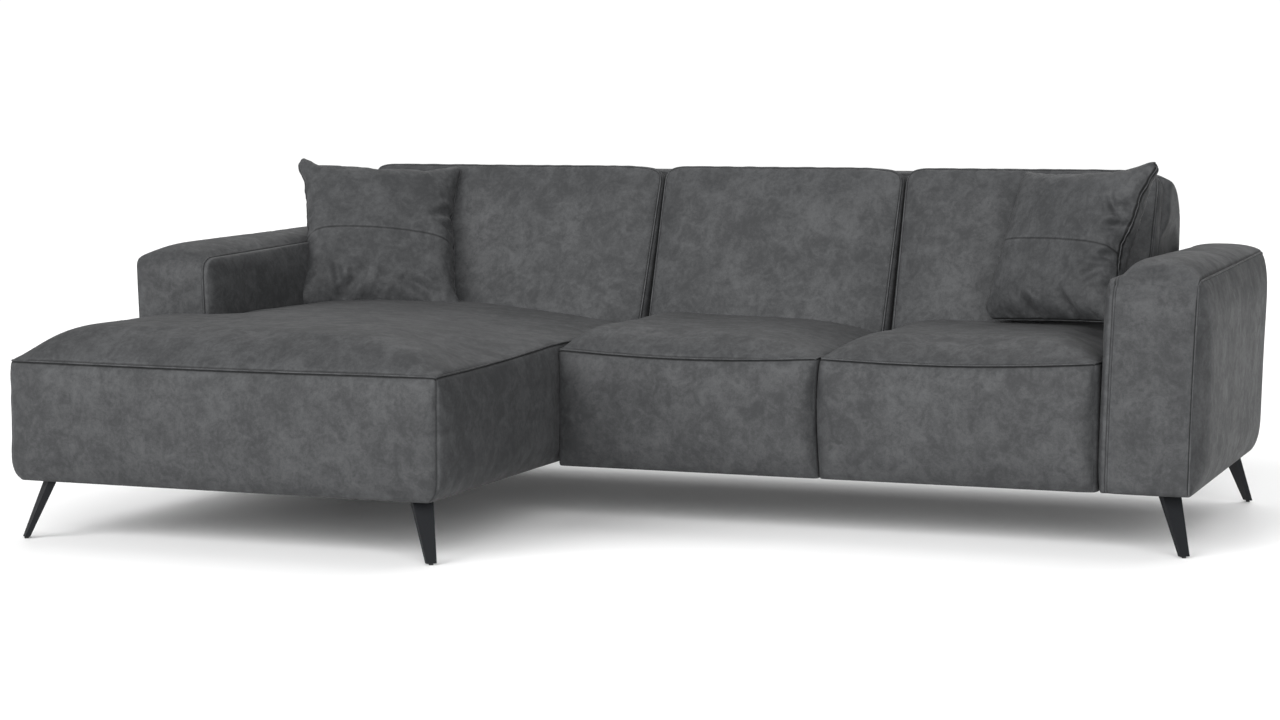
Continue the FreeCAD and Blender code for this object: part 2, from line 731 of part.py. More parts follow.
# Leaning timber frames and elastic straps behind the cushions
board = cell("back_board")
board_span = (strap_thickness, strap_thickness + board)
board_top = back_length - cell("back_board_margin")
top_rail_up = (board_top - cell("back_board_width"), board_top)
low_rail_up = (cushion_low, cushion_low + cell("back_board_width"))
for module, x_span, post_shares in (
        ("chaise", (back_left_x, junction_x), (0, 1 / 2, 1)),
        ("seats", (junction_x, back_right_x), (0, 1 / 3, 2 / 3, 1))):
    inner = (x_span[0] + back_wall + 2, x_span[1] - back_wall - 2)
    posts = []
    post_width = cell("back_board_width")
    post_room = inner[1] - inner[0] - post_width
    for index, share in enumerate(post_shares):
        x_place = inner[0] + post_room * share
        posts.append(leaning_box("back_post_%s_%d" % (module, index),
                                 (x_place, x_place + post_width), board_span,
                                 (-back_foot_z / 4, board_top)))
    posts.append(leaning_box("back_top_rail_" + module, inner, board_span, top_rail_up))
    posts.append(leaning_box("back_low_rail_" + module, inner, board_span, low_rail_up))
    under = box("back_under_" + module, (left_x, right_x), (seat_front_y, rear_y), (0, rail_top_z))
    node(less("back_frame_cut_" + module, joined("back_boards_" + module, posts), [under]),
         "back_frame_" + module)
    bands = []
    for index in range(5):
        low_up = cushion_low + (board_top - cushion_low - strap_width) * (index / 4)
        bands.append(leaning_box("back_band_%s_%d" % (module, index), inner, (0, strap_thickness),
                                 (low_up, low_up + strap_width)))
    node(grouped("back_bands_" + module, bands), "back_webbing_" + module)

# Rear covers: one wraps each module's back from the cushions' top seam down to the hem
swell = cell("outline_crown")
heel = cell("rear_heel_radius")
seam_top = (back_foot_y + back_length * lean_sine, back_foot_z + back_length * lean_cosine)
shoulder_z = cell("back_height") - cell("back_shoulder_drop")
rear_radius = cell("back_rear_radius")


def rear_profile(body, name, x_place, reach):
    """The upright outline of the back from its leaning plane to its swelled rear face."""
    rear = rear_y - swell
    corners = [(back_foot_y, base_z), (rear - heel, base_z), (rear, base_z + heel), (rear, shoulder_z),
               seam_top, (back_foot_y, back_foot_z)]
    radii = [None, heel, arc_radius(shoulder_z - base_z - heel, swell), rear_radius, None, None]
    sketch = section(body, name, "YZ_Plane", x_place, corners, radii)
    pad = body.newObject("PartDesign::Pad", name + "_pad")
    pad.Profile = sketch
    bind(pad, "Length", reach)
    return body


def rear_hollow(body, name, x_place, reach):
    """The space inside the rear cover, open to the front and below."""
    rear = rear_y - swell - back_wall
    ahead = back_foot_y - 30 * lean_cosine
    lowered = back_length - back_wall
    inner_top = (back_foot_y + lowered * lean_sine, back_foot_z + lowered * lean_cosine)
    corners = [(ahead, base_z - 20), (rear, base_z - 20), (rear, shoulder_z), inner_top,
               (inner_top[0] - 30 * lean_cosine, inner_top[1] + 30 * lean_sine),
               (ahead, back_foot_z + 30 * lean_sine)]
    radii = [None, None, rear_radius - back_wall, None, None, None]
    sketch = section(body, name, "YZ_Plane", x_place, corners, radii)
    pad = body.newObject("PartDesign::Pad", name + "_pad")
    pad.Profile = sketch
    bind(pad, "Length", reach)
    return body


for module, x_span in (("chaise", (back_left_x, junction_x)), ("seats", (junction_x, back_right_x))):
    low_x, high_x = x_span[0] + 1, x_span[1] - 1
    outer = document.addObject("PartDesign::Body", "back_rear_" + module)
    rear_profile(outer, "back_rear_outline_" + module, low_x, high_x - low_x)
    inside = document.addObject("PartDesign::Body", "back_rear_inside_" + module)
    rear_hollow(inside, "back_rear_hollow_" + module, low_x + back_wall,
                high_x - low_x - back_wall * 2)
    node(less("back_rear_cut_" + module, outer, [inside]), "back_rear_cover_" + module)

# Arms: a crowned middle panel that runs over from front to back, and a crowned panel on each side
arm_height = cell("arm_height")
arm_top_crown = cell("arm_top_crown")
arm_wall = cell("arm_wall")
arm_board = cell("arm_board")
arm_hollow_top = arm_height - cell("arm_top_wall")
arm_pad_z = arm_hollow_top - cell("arm_pad_thickness")
arm_foot_radius = (cell("arm_toe_radius"), cell("arm_heel_radius"))


def arm_body(name, inner_x, side, arm_front_y):
    """One stuffed arm, drawn as outlines from its inner face out to its outer face."""
    body = document.addObject("PartDesign::Body", name)
    # How far each outline stands from the inner seam, and in from the top, the front and the foot
    levels = [
        (-arm_inner_crown, 150, 140, 90),
        (-arm_inner_crown * 0.62, arm_top_crown + 39, 46, 25),
        (as_size(0), arm_top_crown, 6, 4),
        (arm_seam_width * 0.09, arm_top_crown * 0.5, 3, 2),
        (arm_seam_width * 0.25, arm_top_crown * 0.17, 1, 0),
        (arm_seam_width * 0.5, 0, 0, 0),
        (arm_seam_width * 0.75, arm_top_crown * 0.17, 1, 0),
        (arm_seam_width * 0.91, arm_top_crown * 0.5, 3, 2),
        (arm_seam_width, arm_top_crown, 6, 4),
        (arm_seam_width + arm_outer_crown * 0.64, arm_top_crown + 39, 46, 25),
        (arm_seam_width + arm_outer_crown, 150, 140, 90),
    ]
    front_round = cell("arm_front_radius")
    rear_round = cell("arm_rear_radius")
    toe, heel = arm_foot_radius
    sections = []
    for index, (offset, drop, inset, lift) in enumerate(levels):
        top = arm_height - drop
        foot = base_z + lift
        front = arm_front_y + inset
        rear = rear_y - inset
        corners = [(front + toe, foot), (rear - heel, foot), (rear, foot + heel),
                   (rear, top - rear_round), (rear - rear_round, top), (front + front_round, top),
                   (front, top - front_round), (front, foot + toe)]
        radii = [None, heel, None, rear_round, None, front_round, None, toe]
        seam_x = inner_x + (arm_inner_crown + offset) * side
        sections.append(section(body, "%s_level_%d" % (name, index), "YZ_Plane", seam_x, corners,
                                radii))
    lofted(body, name + "_skin", sections)
    return body


def span(low, high, side):
    """The same two distances, in rising order on either hand."""
    return (low, high) if side > 0 else (high, low)


for side_name, side, inner_x, arm_front_y, leg_names in (
        ("left", -1, left_arm_inner_x, left_arm_front_y, ["leg_chaise_rear_left"]),
        ("right", 1, seats_end_x, seat_front_y, ["leg_seat_front_right", "leg_seat_rear_right"])):
    hollow_x = span(inner_x + arm_wall * side, inner_x + (arm_width - arm_wall) * side, side)
    hollow_y = (arm_front_y + front_wall, rear_y - front_wall)
    hollow = box("arm_hollow_" + side_name, hollow_x, hollow_y, (0, arm_hollow_top))
    node(less("arm_cover_cut_" + side_name,
              arm_body("arm_block_" + side_name, inner_x, side, arm_front_y),
              [hollow] + bolt_holes("arm_cover_" + side_name, side_name)), "arm_cover_" + side_name)
    node(box("arm_pad_slab_" + side_name, hollow_x, hollow_y, (arm_pad_z, arm_hollow_top)),
         "arm_pad_" + side_name)
    case = box("arm_case_" + side_name, hollow_x, hollow_y, (dust_z, arm_pad_z))
    room_x = (hollow_x[0] + arm_board, hollow_x[1] - arm_board)
    room_y = (hollow_y[0] + arm_board, hollow_y[1] - arm_board)
    room = box("arm_room_" + side_name, room_x, room_y, (dust_z + arm_board, arm_pad_z - arm_board))
    window_gap = cell("arm_window_gap")
    window_z = (arm_bolt_z + window_gap, arm_pad_z - window_gap)
    window_length = (room_y[1] - room_y[0] - window_gap * 3) / 3
    windows = []
    for index in range(3):
        window_y = room_y[0] + window_gap / 2 + (window_length + window_gap) * index
        windows.append(box("arm_window_%s_%d" % (side_name, index),
                           (hollow_x[0] - 5, hollow_x[1] + 5),
                           (window_y, window_y + window_length), window_z))
    blocks = []
    for leg_name in leg_names:
        leg_y = METAL_LEGS[leg_name][1]
        half = leg_block / 2
        near_front = leg_y.value < 0
        block_y = (hollow_y[0], leg_y + half) if near_front else (leg_y - half, hollow_y[1])
        blocks.append(box("arm_block_" + leg_name, hollow_x, block_y,
                          (dust_z, dust_z + cell("corner_block_height"))))
    boards = less("arm_boards_" + side_name, case, [room] + windows)
    node(less("arm_frame_cut_" + side_name, joined("arm_blocks_" + side_name, [boards] + blocks),
              screw_holes("arm_frame_" + side_name, screw_places(leg_names), hole_radius)
              + bolt_holes("arm_frame_" + side_name, side_name)), "arm_frame_" + side_name)


def bolt(name, x_span, head_at_low, y_place):
    """A bolt from inside the base, its head against the rail."""
    length = cell("bolt_head_height")
    head_x = (x_span[0] - length, x_span[0]) if head_at_low else (x_span[1], x_span[1] + length)
    return joined(name, [
        bar_along_x(name + "_shank", cell("bolt_radius"), x_span, y_place, arm_bolt_z),
        bar_along_x(name + "_head", cell("bolt_head_radius"), head_x, y_place, arm_bolt_z)])


node(grouped("arm_bolt_set", [
    bolt("arm_bolt_%s_%d" % (side_name, index), ARM_BOLTS[side_name][0], side_name == "right", place)
    for side_name in ("left", "right")
    for index, place in enumerate(ARM_BOLTS[side_name][1])]), "arm_bolts")

# Metal legs: a square plate, and a blade that tapers and splays out along the corner
plate_half = cell("leg_plate") / 2
blade_offset = plate_inset - cell("leg_inset")
glide_top = cell("glide_thickness")
foot_places = []


def blade_section(body, name, height, centre, turn, width, thickness):
    """A flat rectangle, broad across the way the leg splays."""
    along = (math.cos(math.radians(turn)), math.sin(math.radians(turn)))
    corners = []
    for side_along, side_across in ((-1, -1), (1, -1), (1, 1), (-1, 1)):
        step_along = thickness / 2 * side_along
        step_across = width / 2 * side_across
        corners.append((centre[0] + step_along * along[0] - step_across * along[1],
                        centre[1] + step_along * along[1] + step_across * along[0]))
    return section(body, name, "XY_Plane", height, corners, [None] * 4)


for leg_name, (px, py, turn) in METAL_LEGS.items():
    way = (math.cos(math.radians(turn)), math.sin(math.radians(turn)))
    top = (px + blade_offset * math.copysign(1, way[0]), py + blade_offset * math.copysign(1, way[1]))
    foot = (top[0] + cell("leg_splay") * way[0], top[1] + cell("leg_splay") * way[1])
    foot_places.append(foot)
    blade = document.addObject("PartDesign::Body", leg_name + "_blade")
    lofted(blade, leg_name + "_blade_skin", [
        blade_section(blade, leg_name + "_foot", glide_top, foot, turn, cell("leg_foot_width"),
                      cell("leg_foot_thickness")),
        blade_section(blade, leg_name + "_top", plate_z, top, turn, cell("leg_top_width"),
                      cell("leg_top_thickness"))])
    plate = box(leg_name + "_plate", (px - plate_half, px + plate_half),
                (py - plate_half, py + plate_half), (plate_z, dust_z))
    node(less(leg_name + "_drilled", joined(leg_name + "_welded", [plate, blade]),
              screw_holes(leg_name, screw_places([leg_name]), hole_radius)), leg_name)


def screw(name, place, head_z):
    """A pan-head wood screw driven up from below."""
    head_height = cell("screw_head_height")
    return joined(name, [
        cylinder(name + "_head", cell("screw_head_radius"), head_height, place[0], place[1],
                 head_z - head_height),
        cylinder(name + "_shank", cell("screw_radius"), screw_reach - head_z + 0.5, place[0], place[1],
                 head_z - 0.5)])


node(grouped("leg_screw_set", [
    screw("leg_screw_%d" % index, place, plate_z)
    for index, place in enumerate(screw_places(list(METAL_LEGS)))]), "leg_screws")
node(grouped("foot_glide_set", [
    cylinder("foot_glide_%d" % index, cell("leg_foot_thickness") / 2 - 1, glide_top, px, py, 0)
    for index, (px, py) in enumerate(foot_places)]), "foot_glides")

# Two flat steel bars under the modules hold them together
bar_top = base_z - 0.5
bar_bottom = bar_top - cell("coupling_plate")
bars = []
for index, py in enumerate(coupling_y):
    bar_y = (py - coupling_half, py + coupling_half)
    pad_half = rail_thickness / 2 - 1
    members = [box("coupling_flat_%d" % index,
                   (coupling_hole_x[0] - pad_half, coupling_hole_x[1] + pad_half), bar_y,
                   (bar_bottom, bar_top))]
    for end, px in enumerate(coupling_hole_x):
        members.append(box("coupling_pad_%d_%d" % (index, end), (px - pad_half, px + pad_half), bar_y,
                           (bar_bottom, dust_z)))
    bars.append(less("coupling_bar_%d" % index, joined("coupling_members_%d" % index, members),
                     screw_holes("coupling_bar_%d" % index, [(px, py) for px in coupling_hole_x],
                                 hole_radius)))
node(grouped("coupling_bar_set", bars), "coupling_bars")
node(grouped("coupling_screw_set", [
    screw("coupling_screw_%d" % index, place, bar_bottom)
    for index, place in enumerate(coupling_places)]), "coupling_screws")

# Loose throw cushions: knife edges with pointed ears, standing in the two corners
cushion_half = cell("cushion_size") / 2
cushion_deep = cell("cushion_thickness") / 2


def pillow(name, shrink):
    """A stuffed square between two faces. Each level gives how thick it stands, and as shares of the
    cushion's half size how far its ears stand in and how far its sides swell between them."""
    body = document.addObject("PartDesign::Body", name)
    levels = [(1.0, 0.80, 0.057), (0.96, 0.724, 0.076), (0.85, 0.581, 0.095), (0.68, 0.40, 0.090),
              (0.46, 0.238, 0.057), (0.22, 0.105, 0.014), (0.0, 0.0, -0.067)]
    steps = [(-share, ears, swell) for share, ears, swell in levels]
    steps += [(share, ears, swell) for share, ears, swell in reversed(levels[:-1])]
    sections = []
    for index, (share, ears, swell) in enumerate(steps):
        reach = cushion_half * (1 - ears) - shrink
        corners = [(-reach, -reach), (reach, -reach), (reach, reach), (-reach, reach)]
        radius = arc_radius(reach * 2, cushion_half * swell)
        sections.append(section(body, "%s_level_%d" % (name, index), "XY_Plane",
                                (cushion_deep - shrink) * share, corners, [radius] * 4))
    lofted(body, name + "_skin", sections)
    return body


def stand(item, x_place, y_place, z_place, turn, lean_back):
    """Place a cushion by its middle, turned about the upright and leaning back."""
    turned = FreeCAD.Rotation(turn.value, 0, 90 - lean_back.value)
    item.Placement = FreeCAD.Placement(
        FreeCAD.Vector(x_place.value, y_place.value, z_place.value), turned)
    item.setExpression("Placement", (
        "create(<<placement>>; create(<<vector>>; %s; %s; %s); "
        "create(<<rotation>>; %s; 0; 90 - %s))") % (
            x_place.formula, y_place.formula, z_place.formula, turn.formula, lean_back.formula))
    return item


def throw_cushion(name, side, turn, lean_back, rest_z, edge_x):
    """One throw cushion: its ears rest on the seat, its back against the back cushion."""
    middle_z = rest_z + clearance + cushion_half * cosine(lean_back)
    # The widest part of its rear face, as far behind its middle as the back cushion must be
    bulge_side = cushion_half * 0.70 * sine(turn)
    bulge_deep = cushion_deep * 0.72
    behind = (bulge_side + bulge_deep * cosine(lean_back) * cosine(turn)) * lean_cosine
    behind = behind + bulge_deep * sine(lean_back) * lean_sine
    stand_off = gusset + back_crown + clearance + behind
    middle_y = back_foot_y + ((middle_z - back_foot_z) * lean_sine - stand_off) / lean_cosine
    # Its outer edge stands clear of the arm's inner seam
    seam_drop = (middle_z - (arm_height - arm_top_crown)) / cosine(lean_back)
    edge_reach = cushion_half * 0.957 * cosine(turn) - seam_drop * sine(lean_back) * sine(turn)
    middle_x = edge_x - (edge_reach + clearance) * side
    turned = turn * (-side)
    cover_body = stand(pillow("throw_%s_outside" % name, as_size(0)), middle_x, middle_y, middle_z,
                       turned, lean_back)
    wall = cell("cushion_cover_wall")
    inside = stand(pillow("throw_%s_inside" % name, wall), middle_x, middle_y, middle_z, turned,
                   lean_back)
    filling = stand(pillow("throw_%s_filling" % name, wall + 0.3), middle_x, middle_y, middle_z,
                    turned, lean_back)
    node(less("throw_%s_cut" % name, cover_body, [inside]), "throw_cushion_%s_cover" % name)
    node(filling, "throw_cushion_%s_filling" % name)


throw_cushion("left", -1, cell("cushion_turn_left"), cell("cushion_lean_left"), chaise_top_z,
              left_arm_inner_x - arm_inner_crown)
throw_cushion("right", 1, cell("cushion_turn_right"), cell("cushion_lean_right"),
              seat_top_z - cell("cushion_drop_right"),
              seats_end_x + arm_inner_crown - cell("cushion_room_right"))

document.recompute()
for item in document.Objects:
    if "Invalid" in item.State or "Error" in item.State:
        raise RuntimeError("%s did not recompute" % item.Name)
for item in exported:
    if item.Shape.isNull() or not item.Shape.isValid():
        raise RuntimeError("%s has no valid shape" % item.Label)
os.makedirs("parts", exist_ok=True)
for item in exported:
    item.Shape.exportStep("parts/%s.step" % item.Label)
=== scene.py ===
import math
import bpy
import numpy as np
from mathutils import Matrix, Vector


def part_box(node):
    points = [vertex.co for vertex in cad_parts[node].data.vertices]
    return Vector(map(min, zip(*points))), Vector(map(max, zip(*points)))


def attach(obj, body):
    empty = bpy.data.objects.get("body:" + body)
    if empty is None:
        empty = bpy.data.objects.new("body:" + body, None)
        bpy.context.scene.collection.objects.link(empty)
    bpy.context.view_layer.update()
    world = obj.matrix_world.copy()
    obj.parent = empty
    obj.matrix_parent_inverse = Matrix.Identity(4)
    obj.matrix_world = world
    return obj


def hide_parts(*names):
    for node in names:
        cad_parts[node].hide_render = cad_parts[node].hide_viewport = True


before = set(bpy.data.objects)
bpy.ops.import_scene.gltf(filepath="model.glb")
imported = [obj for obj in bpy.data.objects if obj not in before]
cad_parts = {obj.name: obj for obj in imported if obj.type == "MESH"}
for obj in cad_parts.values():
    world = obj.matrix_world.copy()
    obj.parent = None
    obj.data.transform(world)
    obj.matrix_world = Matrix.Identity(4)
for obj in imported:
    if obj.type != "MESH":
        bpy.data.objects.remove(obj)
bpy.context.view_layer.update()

# The studio: a wide white floor under a white sky, with two broad lamps at the front corners, a third
# overhead from the rear, and the camera a metre up to the right of the middle.
camera_data = bpy.data.cameras.new("camera")
camera_data.sensor_width = 36
camera_data.lens = 76.45
camera = bpy.data.objects.new("camera", camera_data)
camera.location = (2.3177, -6.1653, 1.0046)
camera.rotation_euler = (math.radians(90 - 5.3239), 0, math.radians(21.1146))
bpy.context.scene.collection.objects.link(camera)
bpy.context.scene.camera = camera
bpy.context.scene.view_settings.view_transform = "Standard"

world = bpy.data.worlds.new("studio_air")
world.use_nodes = True
fill_light = world.node_tree.nodes["Background"]
fill_light.inputs["Strength"].default_value = 0.33
white_wall = world.node_tree.nodes.new("ShaderNodeBackground")
white_wall.inputs["Strength"].default_value = 1.05
seen = world.node_tree.nodes.new("ShaderNodeLightPath")
either = world.node_tree.nodes.new("ShaderNodeMixShader")
for air in (fill_light, white_wall):
    air.inputs["Color"].default_value = (1, 1, 1, 1)
air_out = world.node_tree.nodes["World Output"]
world.node_tree.links.new(seen.outputs["Is Camera Ray"], either.inputs["Fac"])
world.node_tree.links.new(fill_light.outputs["Background"], either.inputs[1])
world.node_tree.links.new(white_wall.outputs["Background"], either.inputs[2])
world.node_tree.links.new(either.outputs["Shader"], air_out.inputs["Surface"])
bpy.context.scene.world = world


def broad_lamp(name, place, strength, width):
    """A studio lamp that shines from one place to the middle of the floor. Its width in degrees
    softens its shadows."""
    data = bpy.data.lights.new(name, "SUN")
    data.energy = strength
    data.angle = math.radians(width)
    holder = bpy.data.objects.new(name, data)
    holder.location = place
    holder.rotation_euler = (-Vector(place)).to_track_quat("-Z", "Y").to_euler()
    bpy.context.scene.collection.objects.link(holder)


broad_lamp("top_rear", (0.0, 2.5, 4.0), 1.5, 60)
broad_lamp("key_left", (-2.5, -5.0, 2.2), 4.0, 50)
broad_lamp("key_right", (2.8, -5.0, 2.0), 3.6, 50)

bpy.ops.object.select_all(action="DESELECT")
bpy.ops.mesh.primitive_plane_add(size=40, location=(0, 0, 0))
floor = bpy.context.object
floor.name = "studio_floor"
floor_paint = bpy.data.materials.new("floor_paint")
floor_paint.use_nodes = True
floor_shader = floor_paint.node_tree.nodes["Principled BSDF"]
floor_shader.inputs["Base Color"].default_value = (0.92, 0.92, 0.92, 1)
floor_shader.inputs["Roughness"].default_value = 0.45
floor.data.materials.append(floor_paint)


# The chaise: one long seat of foam over webbing and a timber base, in a cover of soft brushed hide.
# A crowned top panel is sewn to upright side panels with a turned seam, the side panels meet in plain
# seams at the front corners, and the hem is turned under the base and stapled.
def wire(tree, source, target):
    """Join one shader socket to another."""
    tree.links.new(source, target)


def shader_node(tree, kind, **values):
    """A shader node with its settings and unlinked inputs filled in."""
    made = tree.nodes.new(kind)
    for key, value in values.items():
        if key in made.inputs:
            made.inputs[key].default_value = value
        else:
            setattr(made, key, value)
    return made


def blend_values(tree, factor, low, high):
    """Mix two plain values by a factor socket."""
    mix = tree.nodes.new("ShaderNodeMapRange")
    mix.inputs["To Min"].default_value = low
    mix.inputs["To Max"].default_value = high
    wire(tree, factor, mix.inputs["Value"])
    return mix.outputs["Result"]


def mottle_group():
    """The clouded look of brushed hide: pale worn patches over a darker ground, and a fine nap."""
    group = bpy.data.node_groups.new("hide_mottle", "ShaderNodeTree")
    group.interface.new_socket("Panel", in_out="INPUT", socket_type="NodeSocketFloat")
    group.interface.new_socket("Cloud", in_out="OUTPUT", socket_type="NodeSocketFloat")
    group.interface.new_socket("Nap", in_out="OUTPUT", socket_type="NodeSocketFloat")
    inlet = group.nodes.new("NodeGroupInput")
    outlet = group.nodes.new("NodeGroupOutput")
    place = group.nodes.new("ShaderNodeTexCoord")
    sizes = (("broad", 7.0, 3, 0.5, 0.3), ("patch", 24.0, 8, 0.68, 0.8), ("fleck", 95.0, 5, 0.7, 0.4),
             ("nap", 420.0, 3, 0.6, 0.0))
    layers = {}
    for name, scale, detail, rough, bend in sizes:
        layer = shader_node(group, "ShaderNodeTexNoise", noise_dimensions="4D", Scale=scale, Detail=detail,
                            Roughness=rough, Distortion=bend)
        wire(group, place.outputs["Object"], layer.inputs["Vector"])
        wire(group, inlet.outputs["Panel"], layer.inputs["W"])
        layers[name] = layer.outputs["Fac"]
    total = None
    for name, weight in (("broad", 0.20), ("patch", 0.42), ("fleck", 0.24), ("nap", 0.14)):
        part = shader_node(group, "ShaderNodeMath", operation="MULTIPLY_ADD")
        part.inputs[1].default_value = weight
        wire(group, layers[name], part.inputs[0])
        if total is None:
            part.inputs[2].default_value = 0
        else:
            wire(group, total, part.inputs[2])
        total = part.outputs[0]
    cloud = shader_node(group, "ShaderNodeMapRange", interpolation_type="SMOOTHSTEP")
    cloud.inputs["From Min"].default_value = 0.41
    cloud.inputs["From Max"].default_value = 0.63
    wire(group, total, cloud.inputs["Value"])
    wire(group, cloud.outputs["Result"], outlet.inputs["Cloud"])
    wire(group, layers["nap"], outlet.inputs["Nap"])
    return group


hide_mottle = mottle_group()


def hide_material():
    """Dark grey brushed hide. The seam attribute is how far a point lies from the nearest seam: the hide is
    painted darker right on a seam as painted shade in its groove, and lighter just beside it as a painted
    highlight on the ridge. The panel attribute sets each panel apart, as if cut from another part of the
    skin."""
    material = bpy.data.materials.new("brushed_hide")
    material.use_nodes = True
    tree = material.node_tree
    shader = tree.nodes["Principled BSDF"]
    panel = shader_node(tree, "ShaderNodeAttribute", attribute_name="panel")
    seam = shader_node(tree, "ShaderNodeAttribute", attribute_name="seam")
    mottle = tree.nodes.new("ShaderNodeGroup")
    mottle.node_tree = hide_mottle
    wire(tree, panel.outputs["Fac"], mottle.inputs["Panel"])
    ground, worn = (0.0236, 0.0243, 0.0253, 1), (0.0455, 0.0465, 0.0480, 1)
    tone = shader_node(tree, "ShaderNodeValToRGB")
    tone.color_ramp.elements[0].color = ground
    tone.color_ramp.elements[1].color = worn
    wire(tree, mottle.outputs["Cloud"], tone.inputs["Fac"])
    # Painted shade and highlight: darkest on a seam, as shade in its groove, a little lighter than the hide
    # about 5 mm off it, as a highlight on the ridge, and plain hide from 3 cm away.
    seam_shade_and_highlight = shader_node(tree, "ShaderNodeValToRGB")
    seam_shade_and_highlight.color_ramp.elements[0].position = 0.0
    seam_shade_and_highlight.color_ramp.elements[0].color = (0.22, 0.22, 0.22, 1)
    seam_shade_and_highlight.color_ramp.elements[1].position = 1.0
    seam_shade_and_highlight.color_ramp.elements[1].color = (1, 1, 1, 1)
    for position, level in ((0.07, 0.28), (0.13, 0.70), (0.17, 1.12), (0.32, 1.04)):
        stop = seam_shade_and_highlight.color_ramp.elements.new(position)
        stop.color = (level, level, level, 1)
    seam_shade_reach = 0.03
    reach = shader_node(tree, "ShaderNodeMapRange")
    reach.inputs["From Max"].default_value = seam_shade_reach
    wire(tree, seam.outputs["Fac"], reach.inputs["Value"])
    wire(tree, reach.outputs["Result"], seam_shade_and_highlight.inputs["Fac"])
    shade = shader_node(tree, "ShaderNodeMix", data_type="RGBA", blend_type="MULTIPLY")
    shade.inputs["Factor"].default_value = 1
    wire(tree, tone.outputs["Color"], shade.inputs[6])
    wire(tree, seam_shade_and_highlight.outputs["Color"], shade.inputs[7])
    wire(tree, shade.outputs[2], shader.inputs["Base Color"])
    wire(tree, blend_values(tree, mottle.outputs["Cloud"], 0.62, 0.50), shader.inputs["Roughness"])
    shader.inputs["Specular IOR Level"].default_value = 0.10
    shader.inputs["Sheen Weight"].default_value = 0.02
    shader.inputs["Sheen Roughness"].default_value = 0.45
    bump = shader_node(tree, "ShaderNodeBump", Strength=0.25, Distance=0.0006)
    wire(tree, mottle.outputs["Nap"], bump.inputs["Height"])
    wire(tree, bump.outputs["Normal"], shader.inputs["Normal"])
    return material


brushed_hide = hide_material()


def read_places(piece):
    """The piece's points as rows of X, Y and Z."""
    flat = np.empty(len(piece.data.vertices) * 3, np.float32)
    piece.data.vertices.foreach_get("co", flat)
    return flat.reshape(-1, 3).astype(float)


def write_places(piece, places):
    """Put the piece's points where the rows say."""
    piece.data.vertices.foreach_set("co", places.astype(np.float32).ravel())
    piece.data.update()


def pick_edges(piece, axis):
    """Select the edges that run along one axis, and nothing else."""
    bpy.ops.object.mode_set(mode="EDIT")
    bpy.ops.mesh.select_mode(type="EDGE")
    bpy.ops.mesh.select_all(action="DESELECT")
    bpy.ops.object.mode_set(mode="OBJECT")
    places = read_places(piece)
    ends = np.array([edge.vertices[:] for edge in piece.data.edges])
    run = np.abs(places[ends[:, 1]] - places[ends[:, 0]])
    along = run[:, axis] > 0.9 * np.linalg.norm(run, axis=1)
    piece.data.edges.foreach_set("select", along)
    bpy.ops.object.mode_set(mode="EDIT")


def stuffed_block(name, low, high, cuts, gathered=()):
    """A plain box at its size and place, divided along each side. The rows next to the gathered
    ends, each named by its axis and end, are drawn close to the seam there."""
    bpy.ops.object.select_all(action="DESELECT")
    middle = [(a + b) / 2 for a, b in zip(low, high)]
    bpy.ops.mesh.primitive_cube_add(size=1, location=middle, scale=[b - a for a, b in zip(low, high)])
    piece = bpy.context.object
    piece.name = piece.data.name = name
    bpy.ops.object.transform_apply(location=True, rotation=True, scale=True)
    for axis in range(3):
        pick_edges(piece, axis)
        bpy.ops.mesh.subdivide(number_cuts=cuts[axis] - 1)
        bpy.ops.object.mode_set(mode="OBJECT")
    gather_rows(piece, low, high, gathered)
    return piece


def gather_rows(piece, low, high, gathered, within=0.05, pull=0.25):
    """Draw the rows of points near a seam closer to it, so that its roll and groove can be shaped."""
    places = read_places(piece)
    for axis, end in gathered:
        edge, sign = ((low[axis], 1), (high[axis], -1))[end]
        gap = (places[:, axis] - edge) * sign
        near = (gap >= 0) & (gap < within)
        gap[near] *= pull + (1 - pull) * gap[near] / within
        places[near, axis] = edge + sign * gap[near]
    write_places(piece, places)


def pick_faces(piece, chosen):
    """Select faces by a test of their middle and their facing, and stay in edit mode."""
    bpy.ops.object.mode_set(mode="EDIT")
    bpy.ops.mesh.select_mode(type="FACE")
    bpy.ops.mesh.select_all(action="DESELECT")
    bpy.ops.object.mode_set(mode="OBJECT")
    for face in piece.data.polygons:
        face.select = bool(chosen(face.center, face.normal))
    bpy.ops.object.mode_set(mode="EDIT")


def fullness(distance, reach, power):
    """How far a stuffed panel has risen at some distance from its seam: 0 at the seam, 1 past reach."""
    share = np.clip(distance / reach, 0, 1)
    return 1 - (1 - share) ** power


def round_corner(places, first, second, corner, radius, towards):
    """Turn a square corner into a quarter round. 'corner' is the square corner's place along two
    axes, 'towards' the two signs that lead into the block, and the radius may differ by point."""
    radius = np.broadcast_to(radius, len(places))
    inward_first = (places[:, first] - corner[0]) * towards[0]
    inward_second = (places[:, second] - corner[1]) * towards[1]
    inside = (inward_first < radius) & (inward_second < radius)
    round_off = radius[inside]
    reach_first = round_off - inward_first[inside]
    reach_second = round_off - inward_second[inside]
    length = np.maximum(np.hypot(reach_first, reach_second), 1e-9)
    keep = np.maximum(reach_first, reach_second) / length
    places[inside, first] = corner[0] + towards[0] * (round_off - reach_first * keep)
    places[inside, second] = corner[1] + towards[1] * (round_off - reach_second * keep)


def on_plane(start, low, high, axis, end):
    """The points of a starting block that lie on one of its six planes."""
    return np.abs(start[:, axis] - (low, high)[end][axis]) < 1e-5


